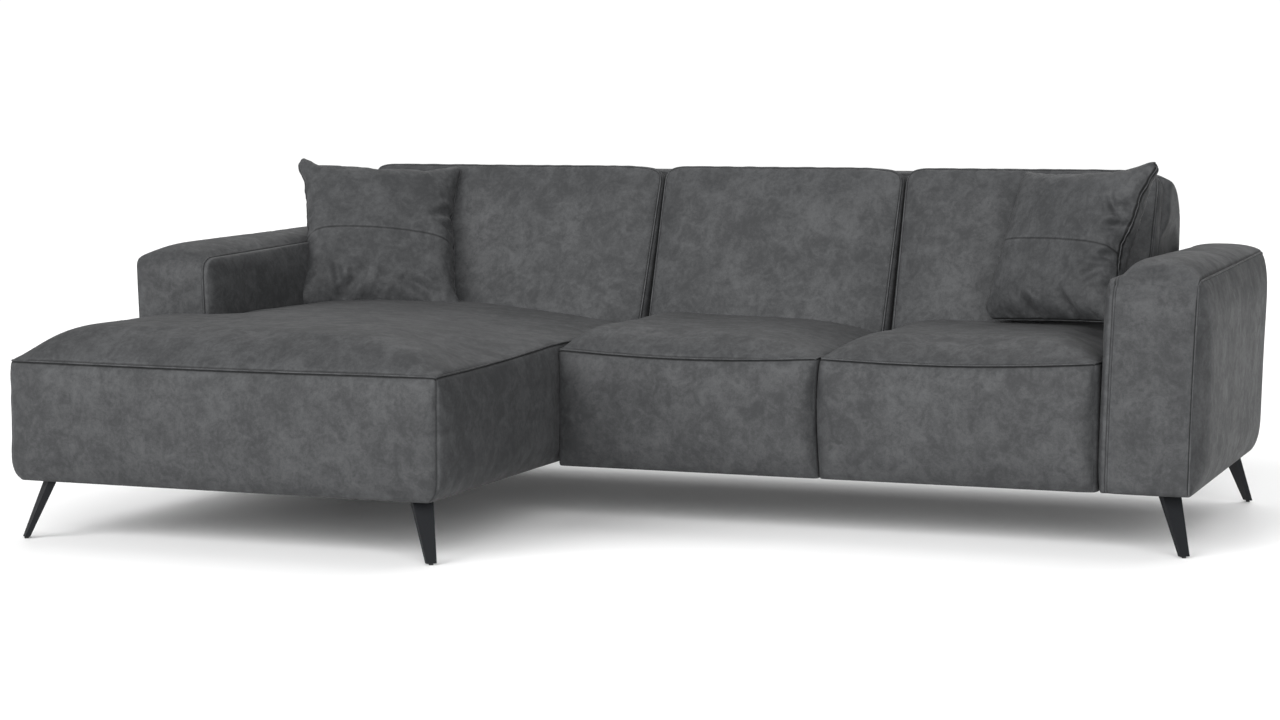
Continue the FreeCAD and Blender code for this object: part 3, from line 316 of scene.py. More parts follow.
def swell_panel(places, start, low, high, panel, rise, borders, power=3.0):
    """Let one flat panel of a block bulge. 'panel' is its axis and end, and 'borders' gives for
    each sewn border the distance over which the panel rises to its full height."""
    axis, end = panel
    on_panel = on_plane(start, low, high, axis, end)
    full = np.ones(len(start))
    for (other, other_end), reach in borders.items():
        full *= fullness(np.abs(start[:, other] - (low, high)[other_end][other]), reach, power)
    places[on_panel, axis] += (1 if end else -1) * (rise * full)[on_panel]


def seam_points(start, low, high, seam):
    """The points that lie on one seam, which is named by the two planes that meet in it."""
    first, second = seam
    return on_plane(start, low, high, *first) & on_plane(start, low, high, *second)


def mark_seams(piece, start, low, high, rolled, plain=(), sink=0.0035):
    """Pull the seams into the stuffing, and note on the mesh how far each point is from a seam, which seams
    have a rolled edge and which panel each face belongs to. From that distance the hide paints shade along a
    seam and a highlight beside it. A plain seam is noted as a little way off, which paints it as a thin,
    lighter line of painted shade without the darkest painted shade of a rolled edge."""
    plain_seam_shade_offset = 0.0034
    places = read_places(piece)
    reach = np.full(len(start), 1.0)
    roll = np.ones(len(start))
    for seam in (*rolled, *plain):
        (first, end_first), (second, end_second) = seam
        gap = np.hypot(start[:, first] - (low, high)[end_first][first],
                       start[:, second] - (low, high)[end_second][second])
        reach = np.minimum(reach, gap if seam in rolled else np.maximum(gap, plain_seam_shade_offset))
        on_seam = seam_points(start, low, high, seam)
        for axis, end in seam:
            places[on_seam, axis] -= (1 if end else -1) * sink
        if seam in rolled:
            roll[on_seam] = 0
    write_places(piece, places)
    for title, values in (("seam", reach), ("rolled", roll)):
        note = piece.data.attributes.new(title, "FLOAT", "POINT")
        note.data.foreach_set("value", values.astype(np.float32))
    corners = np.array([face.vertices[:] for face in piece.data.polygons])
    facing = np.full(len(corners), 6.0)
    for axis in (1, 2, 0):
        facing[(start[corners][:, :, axis] <= low[axis] + 1e-5).all(axis=1)] = axis * 2
        facing[(start[corners][:, :, axis] >= high[axis] - 1e-5).all(axis=1)] = axis * 2 + 1
    panel = piece.data.attributes.new("panel", "FLOAT", "FACE")
    panel.data.foreach_set("value", (facing + 10 * len(bpy.data.meshes)).astype(np.float32))
    piece.data.materials.append(brushed_hide)


def read_note(piece, title):
    """The values of one of the mesh's notes, in the order of its points."""
    values = np.empty(len(piece.data.vertices), np.float32)
    piece.data.attributes[title].data.foreach_get("value", values)
    return values


def only(piece):
    """Make one object the only selected one."""
    bpy.ops.object.select_all(action="DESELECT")
    piece.select_set(True)
    bpy.context.view_layer.objects.active = piece


def stuff(piece, sewn, pressure, spare, reach, frames):
    """Blow the cover up like a stuffed one. Cloth is held where it is sewn or rests on something,
    'spare' is how much wider the hide is cut than the shape, and no point moves past the reach."""
    before = read_places(piece)
    held = piece.vertex_groups.new(name="held")
    for level in np.unique(np.round(sewn, 2)):
        held.add(np.nonzero(np.round(sewn, 2) == level)[0].tolist(), float(level), "REPLACE")
    cloth = piece.modifiers.new("stuffed", "CLOTH")
    hide = cloth.settings
    hide.quality = 5
    hide.mass = 0.4
    hide.tension_stiffness = hide.compression_stiffness = 18
    hide.shear_stiffness = 8
    hide.bending_stiffness = 1.2
    hide.vertex_group_mass = "held"
    hide.shrink_min = hide.shrink_max = -spare
    hide.use_pressure = True
    hide.uniform_pressure_force = pressure
    hide.effector_weights.gravity = 0
    cloth.collision_settings.use_collision = False
    cloth.point_cache.frame_start, cloth.point_cache.frame_end = 1, frames
    for frame_number in range(1, frames + 1):
        bpy.context.scene.frame_set(frame_number)
    stuffed = piece.evaluated_get(bpy.context.evaluated_depsgraph_get())
    flat = np.empty(len(before) * 3, np.float32)
    stuffed.data.vertices.foreach_get("co", flat)
    moved = flat.reshape(-1, 3) - before
    length = np.maximum(np.linalg.norm(moved, axis=1, keepdims=True), 1e-9)
    piece.modifiers.remove(cloth)
    piece.vertex_groups.remove(held)
    write_places(piece, before + moved * np.tanh(length / reach) * reach / length)
    bpy.context.scene.frame_set(1)


def at_rest(start, low, high, seams, planes, hidden=None):
    """Where a cover can't move: 1 on its seams, on the planes that rest against something and on the
    points that another piece hides, and 0 elsewhere."""
    still = np.zeros(len(start), bool) if hidden is None else hidden.copy()
    for seam in seams:
        still |= seam_points(start, low, high, seam)
    for axis, end in planes:
        still |= on_plane(start, low, high, axis, end)
    return still.astype(float)


def normals_of(piece):
    """The outward directions at the piece's points, as rows."""
    flat = np.empty(len(piece.data.vertices) * 3, np.float32)
    piece.data.vertex_normals.foreach_get("vector", flat)
    return flat.reshape(-1, 3).astype(float)


def press_folds(piece, plane, facing, folds):
    """Press soft folds into the side that faces one way. Each fold runs between two places on the
    plane of two axes, with its width and depth, and the hide rises a little on both sides of it."""
    places, outward = read_places(piece), normals_of(piece)
    shown = np.clip((outward @ np.asarray(facing) - 0.1) / 0.4, 0, 1)
    rise = np.zeros(len(places))
    for begin, end, width, depth in folds:
        begin, run = np.asarray(begin), np.subtract(end, begin)
        share = np.clip((places[:, plane] - begin) @ run / (run @ run), 0, 1)
        gap = np.linalg.norm(places[:, plane] - begin - share[:, None] * run, axis=1) / width
        deepest = 0.35 + 0.65 * np.sin(math.pi * np.clip(share, 0.03, 0.97))
        rise -= depth * deepest * (np.exp(-gap ** 2) - 0.5 * np.exp(-((gap - 1.9) / 0.9) ** 2))
    write_places(piece, places + outward * (rise * shown)[:, None])


def round_mesh(piece):
    """Divide the mesh once more and smooth it."""
    only(piece)
    rounder = piece.modifiers.new("rounded", "SUBSURF")
    rounder.levels = rounder.render_levels = 1
    bpy.ops.object.modifier_apply(modifier=rounder.name)
    bpy.ops.object.shade_smooth()


def rolled_edge(piece, radius, beside=(0, 0, 0)):
    """Sew a thin rolled edge of hide along the seams that have one. The seam allowance is turned to one side
    of the stitches, and 'beside' is that way. The roll is noted a few millimetres off a seam, so the hide
    paints it lighter, as a painted highlight along the roll."""
    roll_painted_highlight, roll_panel = 0.0062, 3.0
    on_roll = read_note(piece, "rolled") < 1e-4
    edges = [edge.vertices[:] for edge in piece.data.edges if on_roll[list(edge.vertices)].all()]
    used = sorted({index for edge in edges for index in edge})
    number = {index: order for order, index in enumerate(used)}
    line = bpy.data.meshes.new(piece.name + "_roll")
    line.from_pydata([piece.data.vertices[index].co + Vector(beside) for index in number],
                     [(number[a], number[b]) for a, b in edges], [])
    roll = bpy.data.objects.new(line.name, line)
    bpy.context.scene.collection.objects.link(roll)
    only(roll)
    bpy.ops.object.convert(target="CURVE")
    roll.data.bevel_depth = radius
    roll.data.bevel_resolution = 1
    roll.data.use_fill_caps = True
    bpy.ops.object.convert(target="MESH")
    roll = bpy.context.object
    bpy.ops.object.shade_smooth()
    points, faces = len(roll.data.vertices), len(roll.data.polygons)
    for title, level in (("seam", roll_painted_highlight), ("rolled", 1.0)):
        roll.data.attributes.new(title, "FLOAT", "POINT").data.foreach_set("value", [level] * points)
    roll.data.attributes.new("panel", "FLOAT", "FACE").data.foreach_set("value", [roll_panel] * faces)
    roll.data.materials.append(brushed_hide)
    piece.select_set(True)
    bpy.context.view_layer.objects.active = piece
    bpy.ops.object.join()


def declare(piece, fill, body, *nodes):
    """Put the finished cover on what it rides on and hide the CAD pieces it stands for. What it is made of,
    'fill', is not used.
    """
    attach(piece, body)
    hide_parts(*nodes)


def lean_y(height, ahead):
    """How far back the leaning plane of the back stands at some height, less what stands ahead."""
    return foot_y + (height - foot_z) * math.tan(recline) - ahead / math.cos(recline)


def seat_shape(piece, low, high, crown, crown_edges, swell, corners, side_tuck, seam_lift, notch=None):
    """Blow a seat block up: crown the top inside its seam, swell the sides and turn the hem under.
    crown_edges gives how far the crown reaches its height from the left, right and front seams, and
    how steeply. seam_lift gives how far the top seam stands above its level, across and to the rear."""
    start = read_places(piece)
    places = start.copy()
    left, right = start[:, 0] - low[0], high[0] - start[:, 0]
    front = start[:, 1] - low[1]
    up = start[:, 2] - low[2]
    rise = np.prod([fullness(gap, *edge) for gap, edge in zip((left, right, front), crown_edges)], axis=0)
    if notch:
        notch_reach, notch_dip = 0.10, 0.14
        beside = np.hypot(np.maximum(start[:, 0] - notch[0], 0), np.maximum(notch[1] - start[:, 1], 0))
        rise *= 1 - notch_dip + notch_dip * fullness(beside, notch_reach, 3)
    top = on_plane(start, low, high, 2, 1)
    places[top, 2] += crown * rise[top]
    across = np.clip(left / (high[0] - low[0]), 0, 1)
    back = np.clip(front / (high[1] - low[1]), 0, 1)
    places[:, 2] += seam_lift(across, back) * up / (high[2] - low[2])
    under_top, over_hem, from_corner, from_right = 0.11, 0.07, 0.10, 0.06
    ends = {(2, 1): under_top, (2, 0): over_hem}
    for end in (0, 1):
        swell_panel(places, start, low, high, (0, end), swell[0], {**ends, (1, 0): from_corner})
    swell_panel(places, start, low, high, (1, 0), swell[1], {**ends, (0, 0): from_corner, (0, 1): from_right})
    side_hem, front_hem, front_tuck = 0.055, 0.011, 0.5
    for axis, share, hem in ((0, side_tuck, side_hem), (1, front_tuck, front_hem)):
        drop = np.clip(hem - up, 0, hem)
        tuck = hem - np.sqrt(hem ** 2 - drop ** 2)
        middle, half = (low[axis] + high[axis]) / 2, (high[axis] - low[axis]) / 2
        places[:, axis] = middle + (places[:, axis] - middle) * (1 - share * tuck / half)
    rim, recess = 0.05, 0.006
    inner = on_plane(start, low, high, 2, 0) & (left > rim) & (right > rim) & (front > rim)
    places[inner, 2] += recess
    for x_edge, sign, corner in ((low[0], 1, corners[0]), (high[0], -1, corners[1])):
        round_corner(places, 0, 1, (x_edge, low[1]), corner, (sign, 1))
    places[:, 1] += (lean_y(places[:, 2], tucked_behind) - high[1]) * back ** 2
    write_places(piece, places)
    return start


SIDE_AND_FRONT = [((2, 1), (0, 0)), ((2, 1), (0, 1)), ((2, 1), (1, 0))]
FRONT_CORNERS = [((0, 0), (1, 0)), ((0, 1), (1, 0))]
GATHERED_SEAT = ((0, 0), (0, 1), (1, 0), (2, 1))
FULL_COVER = {"pressure": 2.0, "spare": 0.008, "reach": 0.005, "frames": 16}
recline = math.radians(21)
foot_y, foot_z = 0.4645, 0.300
tucked_behind, hem_drop = 0.066, 0.006
seam_roll, turned_up = 0.0020, (0, 0, 0.0022)
chaise_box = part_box("chaise_cover")
chaise_seam_z, chaise_crown, chaise_swell = 0.418, 0.077, (0.009, 0.013)
chaise_corners, chaise_tuck = (0.016, 0.008), 0.45
chaise_wider, chaise_set_back, chaise_short = 0.014, 0.007, 0.006
chaise_cuts, columns_before_arm = (80, 41, 18), 16
chaise_low = (chaise_box[0].x - chaise_wider, chaise_box[0].y + chaise_set_back, chaise_box[0].z - hem_drop)
chaise_front_high = (chaise_box[1].x - chaise_short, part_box("arm_cover_left")[0].y, chaise_seam_z)
chaise = stuffed_block("chaise_seat", chaise_low, chaise_front_high, chaise_cuts)
chaise_column = (chaise_front_high[0] - chaise_low[0]) / chaise_cuts[0]
chaise_row = (chaise_front_high[1] - chaise_low[1]) / chaise_cuts[1]
notch_x = chaise_low[0] + columns_before_arm * chaise_column
pick_faces(chaise, lambda middle, normal: normal.y > 0.9 and middle.x > notch_x)
rows_behind = round((lean_y(chaise_seam_z, tucked_behind) - chaise_front_high[1]) / chaise_row)
for row in range(rows_behind):
    bpy.ops.mesh.extrude_region_move(TRANSFORM_OT_translate={"value": (0, chaise_row, 0)})
bpy.ops.object.mode_set(mode="OBJECT")
chaise_high = (chaise_front_high[0], chaise_front_high[1] + rows_behind * chaise_row, chaise_seam_z)
gather_rows(chaise, chaise_low, chaise_high, GATHERED_SEAT)


def chaise_seam_lift(across, back):
    """The chaise's top seam droops a little across the front, and climbs along its right side."""
    climb, droop, climb_rate = 0.016, 0.003, 1.9
    return climb * across ** 4 * np.minimum(back * climb_rate, 1) ** 2 - droop * np.sin(math.pi * across)


# The crown falls steeply to its right seam at the front, and in a long slope where people sit.
steep_reach, sloped_reach, steep_power, sloped_power = 0.32, 0.70, 4, 1.6
settled_depth = 0.75
settled = np.clip((read_places(chaise)[:, 1] - chaise_low[1]) / settled_depth, 0, 1)
right_edge = (steep_reach + (sloped_reach - steep_reach) * settled,
              steep_power + (sloped_power - steep_power) * settled)
chaise_edges = ((0.25, 4), right_edge, (0.21, 4))
chaise_start = seat_shape(chaise, chaise_low, chaise_high, chaise_crown, chaise_edges, chaise_swell,
                          chaise_corners, chaise_tuck, chaise_seam_lift, (notch_x, chaise_front_high[1]))
shape = read_places(chaise)
widened, widened_depth, widened_breadth = 0.010, 0.66, 1.08
toward_front = 1 - np.clip((chaise_start[:, 1] - chaise_low[1]) / widened_depth, 0, 1)
toward_right = np.clip((chaise_start[:, 0] - chaise_low[0]) / widened_breadth, 0, 1)
shape[:, 0] += widened * toward_front * toward_right
write_places(chaise, shape)
beside_arm = (chaise_start[:, 0] < notch_x + 1e-4) & (chaise_start[:, 1] > chaise_front_high[1] - 1e-4)
beside_seat = on_plane(chaise_start, chaise_low, chaise_high, 0, 1)
beside_seat &= chaise_start[:, 1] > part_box("seat_cover_left")[0].y
held = at_rest(chaise_start, chaise_low, chaise_high, SIDE_AND_FRONT + FRONT_CORNERS, ((1, 1), (2, 0)),
               beside_arm | beside_seat)
stuff(chaise, held, **FULL_COVER)
mark_seams(chaise, chaise_start, chaise_low, chaise_high, SIDE_AND_FRONT, FRONT_CORNERS)
round_mesh(chaise)
rolled_edge(chaise, seam_roll, turned_up)
declare(chaise, 0.8, "sofa", "chaise_cover", "chaise_foam")


# The two seats: foam over felt and zigzag springs, each in its own crowned cover like the chaise's.
# The fronts round into each other, and the groove between them runs in a slight S down to the hem.
def seat_seam_lift(droop, climb_right, climb_rear):
    """How a seat's top seam droops between its ends, and climbs to its right end and its rear."""
    def lift(across, back):
        return across * (climb_right + climb_rear * back) - droop * np.sin(math.pi * across)
    return lift


seat_seam_z, seat_crown, seat_swell = 0.422, 0.054, (0.0, 0.019)
seat_set_back, groove_reach, groove_sway = 0.004, 0.10, 0.009
seats_meet_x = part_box("seat_cover_right")[0].x
for side, corners, edges, lift in (
        ("left", (0.007, 0.020), ((0.15, 5.5), (0.42, 3), (0.19, 5)), seat_seam_lift(0.012, 0.0, 0.004)),
        ("right", (0.020, 0.034), ((0.20, 4), (0.24, 4), (0.20, 4)), seat_seam_lift(0.011, 0.010, 0.0))):
    seat_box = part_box("seat_cover_" + side)
    seat_low = (seat_box[0].x, seat_box[0].y + seat_set_back, seat_box[0].z - hem_drop)
    seat_high = (seat_box[1].x, lean_y(seat_seam_z, tucked_behind), seat_seam_z)
    seat = stuffed_block("seat_" + side, seat_low, seat_high, (48, 42, 20), GATHERED_SEAT)
    seat_start = seat_shape(seat, seat_low, seat_high, seat_crown, edges, seat_swell, corners, 0.0, lift)
    groove = read_places(seat)
    nearness = 1 - np.clip(np.abs(groove[:, 0] - seats_meet_x) / groove_reach, 0, 1)
    down = np.clip((seat_seam_z - groove[:, 2]) / (seat_seam_z - seat_low[2]), 0, 1)
    groove[:, 0] -= groove_sway * np.sin(math.pi * down ** 0.8) * nearness ** 2
    write_places(seat, groove)
    held = at_rest(seat_start, seat_low, seat_high, SIDE_AND_FRONT, ((0, 0), (0, 1), (1, 1), (2, 0)))
    stuff(seat, held, **FULL_COVER)
    mark_seams(seat, seat_start, seat_low, seat_high, SIDE_AND_FRONT)
    round_mesh(seat)
    rolled_edge(seat, seam_roll, turned_up)
    declare(seat, 0.8, "sofa", "seat_cover_" + side, "seat_foam_" + side)


# The back cushions: three foam blocks that lean on the back frame. Each has a crowned front panel with
# rounded top corners, and a narrow gusset round it between two seams.
back_gusset, back_low_up, back_crown = 0.055, 0.020, 0.027
back_clear, back_corner, crown_reach, gusset_reach = 0.0025, 0.032, 0.20, 0.02
drawn_in, drawn_in_less_up, end_slope_height = 0.010, 0.009, 0.4
turned_forward = (0, -seam_roll * math.cos(recline), seam_roll * math.sin(recline))
back_top_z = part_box("back_cover_left")[1].z - back_gusset * math.sin(recline)
back_top_up = (back_top_z - foot_z) / math.cos(recline)
for side, columns, valley in (("left", 62, (0.0, -0.007)), ("middle", 48, (-0.007, -0.003)),
                              ("right", 48, (-0.003, 0.0))):
    back_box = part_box("back_cover_" + side)
    back_low = (back_box[0].x + back_clear + valley[0], -back_gusset, back_low_up)
    back_high = (back_box[1].x - back_clear + valley[1], 0.0, back_top_up)
    cushion = stuffed_block("back_cushion_" + side, back_low, back_high, (columns, 6, 42),
                            ((0, 0), (0, 1), (2, 1)))
    back_start = read_places(cushion)
    shape = back_start.copy()
    swell_panel(shape, back_start, back_low, back_high, (1, 0), back_crown,
                {(0, 0): crown_reach, (0, 1): crown_reach, (2, 1): crown_reach}, 4.5)
    for panel, bulge in (((0, 0), 0.003), ((0, 1), 0.003), ((2, 1), 0.004)):
        swell_panel(shape, back_start, back_low, back_high, panel, bulge,
                    {(1, 0): gusset_reach, (1, 1): gusset_reach})
    for x_edge, sign, slope, drop in ((back_low[0], 1, 0.07, 0.006), (back_high[0], -1, 0.13, 0.011)):
        round_corner(shape, 0, 2, (x_edge, back_high[2]), back_corner, (sign, -1))
        near_end = 1 - np.clip((back_start[:, 0] - x_edge) * sign / slope, 0, 1)
        toward_top = np.clip((back_start[:, 2] - back_low[2]) / end_slope_height, 0, 1)
        shape[:, 2] -= drop * near_end ** 2 * toward_top ** 3
    ahead = np.clip((back_high[1] - back_start[:, 1]) / back_gusset, 0, 1)
    height = (back_start[:, 2] - back_low[2]) / (back_high[2] - back_low[2])
    middle, half = (back_low[0] + back_high[0]) / 2, (back_high[0] - back_low[0]) / 2
    narrower = ahead * (drawn_in - drawn_in_less_up * height)
    shape[:, 0] = middle + (shape[:, 0] - middle) * (1 - narrower / half)
    write_places(cushion, shape)
    front_border = [((1, 0), (0, 0)), ((1, 0), (0, 1)), ((1, 0), (2, 1))]
    rear_border = [((1, 1), (0, 0)), ((1, 1), (0, 1)), ((1, 1), (2, 1))]
    held = at_rest(back_start, back_low, back_high, front_border + rear_border,
                   ((0, 0), (0, 1), (1, 1), (2, 0)))
    stuff(cushion, held, **FULL_COVER)
    mark_seams(cushion, back_start, back_low, back_high, front_border, rear_border)
    cushion.rotation_euler = (-recline, 0, 0)
    cushion.location = (0, foot_y, foot_z)
    only(cushion)
    bpy.ops.object.transform_apply(location=True, rotation=True, scale=True)
    round_mesh(cushion)
    rolled_edge(cushion, seam_roll, turned_forward)
    declare(cushion, 0.75, "sofa", "back_cover_" + side, "back_foam_" + side)


# The rear covers: one stretched panel for each module, sewn to the cushions' gussets along the top. It
# rounds over the timber frame, drops to the hem and is stapled under the rear rail.
rear_seam_y = foot_y + back_top_up * math.sin(recline)
rear_seam_z = foot_z + back_top_up * math.cos(recline)
rear_shoulder_z, rear_bow, rear_crown, arm_top_z = 0.722, 0.052, 0.012, 0.670
front_lap, front_rise = 0.003, 0.004
end_round, end_drop, end_swell = 0.06, 0.050, 0.018
rear_hem_round, rear_end_round, rear_roll = 0.030, 0.020, 0.0022
for module, rear_columns, arm_at, end_gaps in (("chaise", 60, 0, (0.003, -0.0005)),
                                               ("seats", 90, 1, (-0.0005, 0.003))):
    rear_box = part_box("back_rear_cover_" + module)
    rear_low = (rear_box[0].x + end_gaps[0], foot_y, rear_box[0].z)
    rear_high = (rear_box[1].x - end_gaps[1], rear_box[1].y - rear_crown, rear_seam_z)
    cover = stuffed_block("rear_cover_" + module, rear_low, rear_high, (rear_columns, 24, 44),
                          ((0, 0), (0, 1), (2, 1), (1, 0)))
    rear_start = read_places(cover)
    shape = rear_start.copy()
    deep = (rear_start[:, 1] - rear_low[1]) / (rear_high[1] - rear_low[1])
    tall = (rear_start[:, 2] - rear_low[2]) / (rear_high[2] - rear_low[2])
    chord_y, chord_z = rear_high[1] - rear_seam_y, rear_seam_z - rear_shoulder_z
    chord = math.hypot(chord_y, chord_z)
    bow = rear_bow * 4 * deep * (1 - deep)
    top_y = rear_seam_y - front_lap * (1 - deep) + deep * chord_y + bow * chord_z / chord
    top_z = rear_seam_z + front_rise * (1 - deep) - deep * chord_z + bow * chord_y / chord
    above_foot = np.maximum(rear_low[2] + tall * (rear_seam_z - rear_low[2]) - foot_z, 0)
    low_front = foot_y + above_foot * math.tan(recline)
    straight_y = low_front + deep * (rear_high[1] - low_front)
    near_top = tall ** 6
    shape[:, 1] = straight_y + (top_y - straight_y) * near_top
    shape[:, 2] = rear_low[2] + tall * (top_z - rear_low[2])
    from_arm = np.abs(rear_start[:, 0] - (rear_low, rear_high)[arm_at][0])
    rounding = 1 - np.sqrt(1 - (1 - np.clip(from_arm / end_round, 0, 1)) ** 2)
    shape[:, 2] -= end_drop * rounding * near_top * deep ** 0.5
    swell_panel(shape, rear_start, rear_low, rear_high, (1, 1), rear_crown,
                {(0, 0): 0.14, (0, 1): 0.14, (2, 0): 0.12, (2, 1): 0.15})
    above_arm = np.clip((rear_start[:, 2] - arm_top_z) / 0.05, 0, 1)
    swell_panel(shape, rear_start, rear_low, rear_high, (0, arm_at), end_swell * above_arm,
                {(1, 1): 0.05, (1, 0): 0.02})
    round_corner(shape, 1, 2, (rear_high[1], rear_low[2]), rear_hem_round, (-1, 1))
    for x_edge, sign in ((rear_low[0], 1), (rear_high[0], -1)):
        round_corner(shape, 0, 1, (x_edge, rear_high[1]), rear_end_round, (sign, -1))
    write_places(cover, shape)
    mark_seams(cover, rear_start, rear_low, rear_high, [((2, 1), (1, 0))],
               [((0, 0), (1, 1)), ((0, 1), (1, 1)), ((0, 0), (2, 1)), ((0, 1), (2, 1))])
    round_mesh(cover)
    rolled_edge(cover, rear_roll)
    declare(cover, 0.5, "sofa", "back_rear_cover_" + module)


# The arms: a timber case with a foam pad. One crowned panel wraps over the top from front to rear, and
# a stuffed panel is sewn on at each side, with a rolled edge that shows from the front.
ARMS = {
    "left": {"outward": -1, "rows": 82, "seam_drop": 0.036, "crown": 0.028, "crown_loss": 0.014,
             "rear_lift": 0.036, "turn": (0.018, 0.028, 0.018)},
    "right": {"outward": 1, "rows": 74, "seam_drop": 0.044, "crown": 0.044, "crown_loss": 0.030,
              "rear_lift": 0.022, "turn": (0.040, 0.0, 0.04)},
}
arm_inner_crown, arm_outer_crown, arm_end_crown = 0.012, 0.022, 0.006
arm_set_back, arm_rear_short, arm_roll = 0.003, 0.006, 0.0026
ARM_COVER = {"pressure": 2.0, "spare": 0.002, "reach": 0.004, "frames": 16}
ARM_FOLDS = (((1.130, 0.634), (1.235, 0.636), 0.008, 0.0022),
             ((1.125, 0.612), (1.190, 0.610), 0.007, 0.0012))
arm_rear_round, arm_rear_hem_round, arm_front_hem_round, arm_inner_round = 0.034, 0.060, 0.008, 0.018
arm_lean, arm_foot_in, seat_reach_z = 0.014, 0.008, 0.46
pad_reach, pad_start, front_share = 0.09, 0.14, 0.25
for side, cut in ARMS.items():
    outward = cut["outward"]
    inner_end, outer_end = (0, 1) if outward > 0 else (1, 0)
    arm_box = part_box("arm_cover_" + side)
    inner_x = arm_box[inner_end].x + outward * arm_inner_crown
    outer_x = arm_box[outer_end].x - outward * arm_outer_crown
    arm_low = (min(inner_x, outer_x), arm_box[0].y + arm_set_back, arm_box[0].z - hem_drop)
    arm_high = (max(inner_x, outer_x), arm_box[1].y - arm_rear_short, arm_box[1].z - cut["seam_drop"])
    arm = stuffed_block("arm_" + side, arm_low, arm_high, (18, cut["rows"], 38), ((0, 0), (0, 1)))
    arm_start = read_places(arm)
    columns = np.unique(arm_start[:, 0].round(6))
    inner_seam_x = columns[2] if outward > 0 else columns[-3]
    seam_low = (inner_seam_x if outward > 0 else arm_low[0], *arm_low[1:])
    seam_high = (arm_high[0] if outward > 0 else inner_seam_x, *arm_high[1:])
    shape = arm_start.copy()
    front = arm_start[:, 1] - arm_low[1]
    back = front / (arm_high[1] - arm_low[1])
    tall = (arm_start[:, 2] - arm_low[2]) / (arm_high[2] - arm_low[2])
    from_seam = np.minimum(arm_start[:, 0] - seam_low[0], seam_high[0] - arm_start[:, 0])
    crowned = fullness(np.maximum(from_seam, 0), pad_reach, 3.4)
    top = on_plane(arm_start, arm_low, arm_high, 2, 1)
    crown = cut["crown"] - cut["crown_loss"] * back
    shape[:, 2] += cut["rear_lift"] * back * tall
    past_front = front_share + (1 - front_share) * fullness(front, pad_start, 2)
    shape[top, 2] += (crown * crowned * past_front)[top]
    for end in (0, 1):
        swell_panel(shape, arm_start, seam_low, seam_high, (1, end), arm_end_crown,
                    {(0, 0): 0.10, (0, 1): 0.10})
    borders = {(2, 1): 0.15, (1, 0): 0.14, (1, 1): 0.14, (2, 0): 0.10}
    swell_panel(shape, arm_start, arm_low, arm_high, (0, inner_end), arm_inner_crown, borders, 4)
    swell_panel(shape, arm_start, arm_low, arm_high, (0, outer_end), arm_outer_crown, borders, 4)
    toward_inner = np.clip((outer_x - arm_start[:, 0]) / (outer_x - inner_x), 0, 1)
    turn = cut["turn"][0] + cut["turn"][1] * toward_inner ** 2 + cut["turn"][2] * crowned
    round_corner(shape, 1, 2, (arm_low[1], arm_high[2]), turn, (1, -1))
    round_corner(shape, 1, 2, (arm_high[1], arm_high[2] + cut["rear_lift"]), arm_rear_round, (-1, -1))
    round_corner(shape, 1, 2, (arm_high[1], arm_low[2]), arm_rear_hem_round, (-1, 1))
    round_corner(shape, 1, 2, (arm_low[1], arm_low[2]), arm_front_hem_round, (1, 1))
    round_corner(shape, 0, 1, (inner_x, arm_low[1]), arm_inner_round, (outward, 1))
    height = (shape[:, 2] - arm_low[2]) / (arm_high[2] - arm_low[2])
    shape[:, 0] += outward * (arm_lean * np.clip(height, 0, 1) ** 1.5 - arm_foot_in)
    write_places(arm, shape)
    side_borders = [((0, end), border) for end in (0, 1) for border in ((2, 1), (1, 0), (1, 1))]
    beside_seat = (arm_start[:, 2] < seat_reach_z) & on_plane(arm_start, arm_low, arm_high, 0, inner_end)
    held = at_rest(arm_start, seam_low, seam_high, side_borders, ((2, 0),), beside_seat)
    stuff(arm, held, **ARM_COVER)
    mark_seams(arm, arm_start, seam_low, seam_high, side_borders)
    round_mesh(arm)
    if side == "right":
        press_folds(arm, (0, 2), (0, -0.8, 0.6), ARM_FOLDS)
    rolled_edge(arm, arm_roll)
    declare(arm, 0.9, "sofa", "arm_cover_" + side, "arm_pad_" + side)


# The throw cushions: two squares of hide sewn edge to edge over a loose filling, so that the corners
# stand out as blunt ears. Each front face is pieced from two parts with an arched seam.
# Folds: begin, end, width and depth. Ears: corner, pull across and up, and share of the cushion.
left_folds = (
    ((-0.115, -0.120), (-0.095, -0.200), 0.012, 0.0120),
    ((-0.060, -0.150), (-0.085, -0.205), 0.015, 0.0150),
    ((-0.025, -0.100), (-0.045, -0.180), 0.013, 0.0070),
    ((0.075, -0.160), (0.150, -0.195), 0.014, 0.0120),
    ((0.145, 0.035), (0.200, 0.060), 0.011, 0.0120),
    ((0.165, 0.015), (0.195, 0.000), 0.008, 0.0060),
    ((-0.195, 0.030), (-0.165, 0.038), 0.008, 0.0040),
)
right_folds = (
    ((0.150, 0.022), (0.200, 0.050), 0.009, 0.0200),
    ((0.140, 0.105), (0.172, 0.050), 0.008, 0.0120),
    ((0.160, 0.080), (0.200, 0.090), 0.008, 0.0100),
    ((0.150, -0.055), (0.200, -0.030), 0.010, 0.0170),
    ((0.110, -0.120), (0.168, -0.075), 0.012, 0.0110),
    ((0.060, -0.150), (0.100, -0.185), 0.012, 0.0070),
    ((-0.060, -0.160), (-0.020, -0.190), 0.012, 0.0050),
)
left_ears = (
    ((-1, 1), (0.021, -0.003), 0.32),
    ((-1, 1), (0.0, 0.022), 0.17),
    ((-1, 1), (-0.017, -0.015), 0.075),
    ((1, 1), (0.008, 0.006), 0.18),
    ((1, 1), (-0.009, -0.009), 0.05),
    ((-1, -1), (0.014, 0.014), 0.25),
    ((1, -1), (0.012, 0.012), 0.25),
)
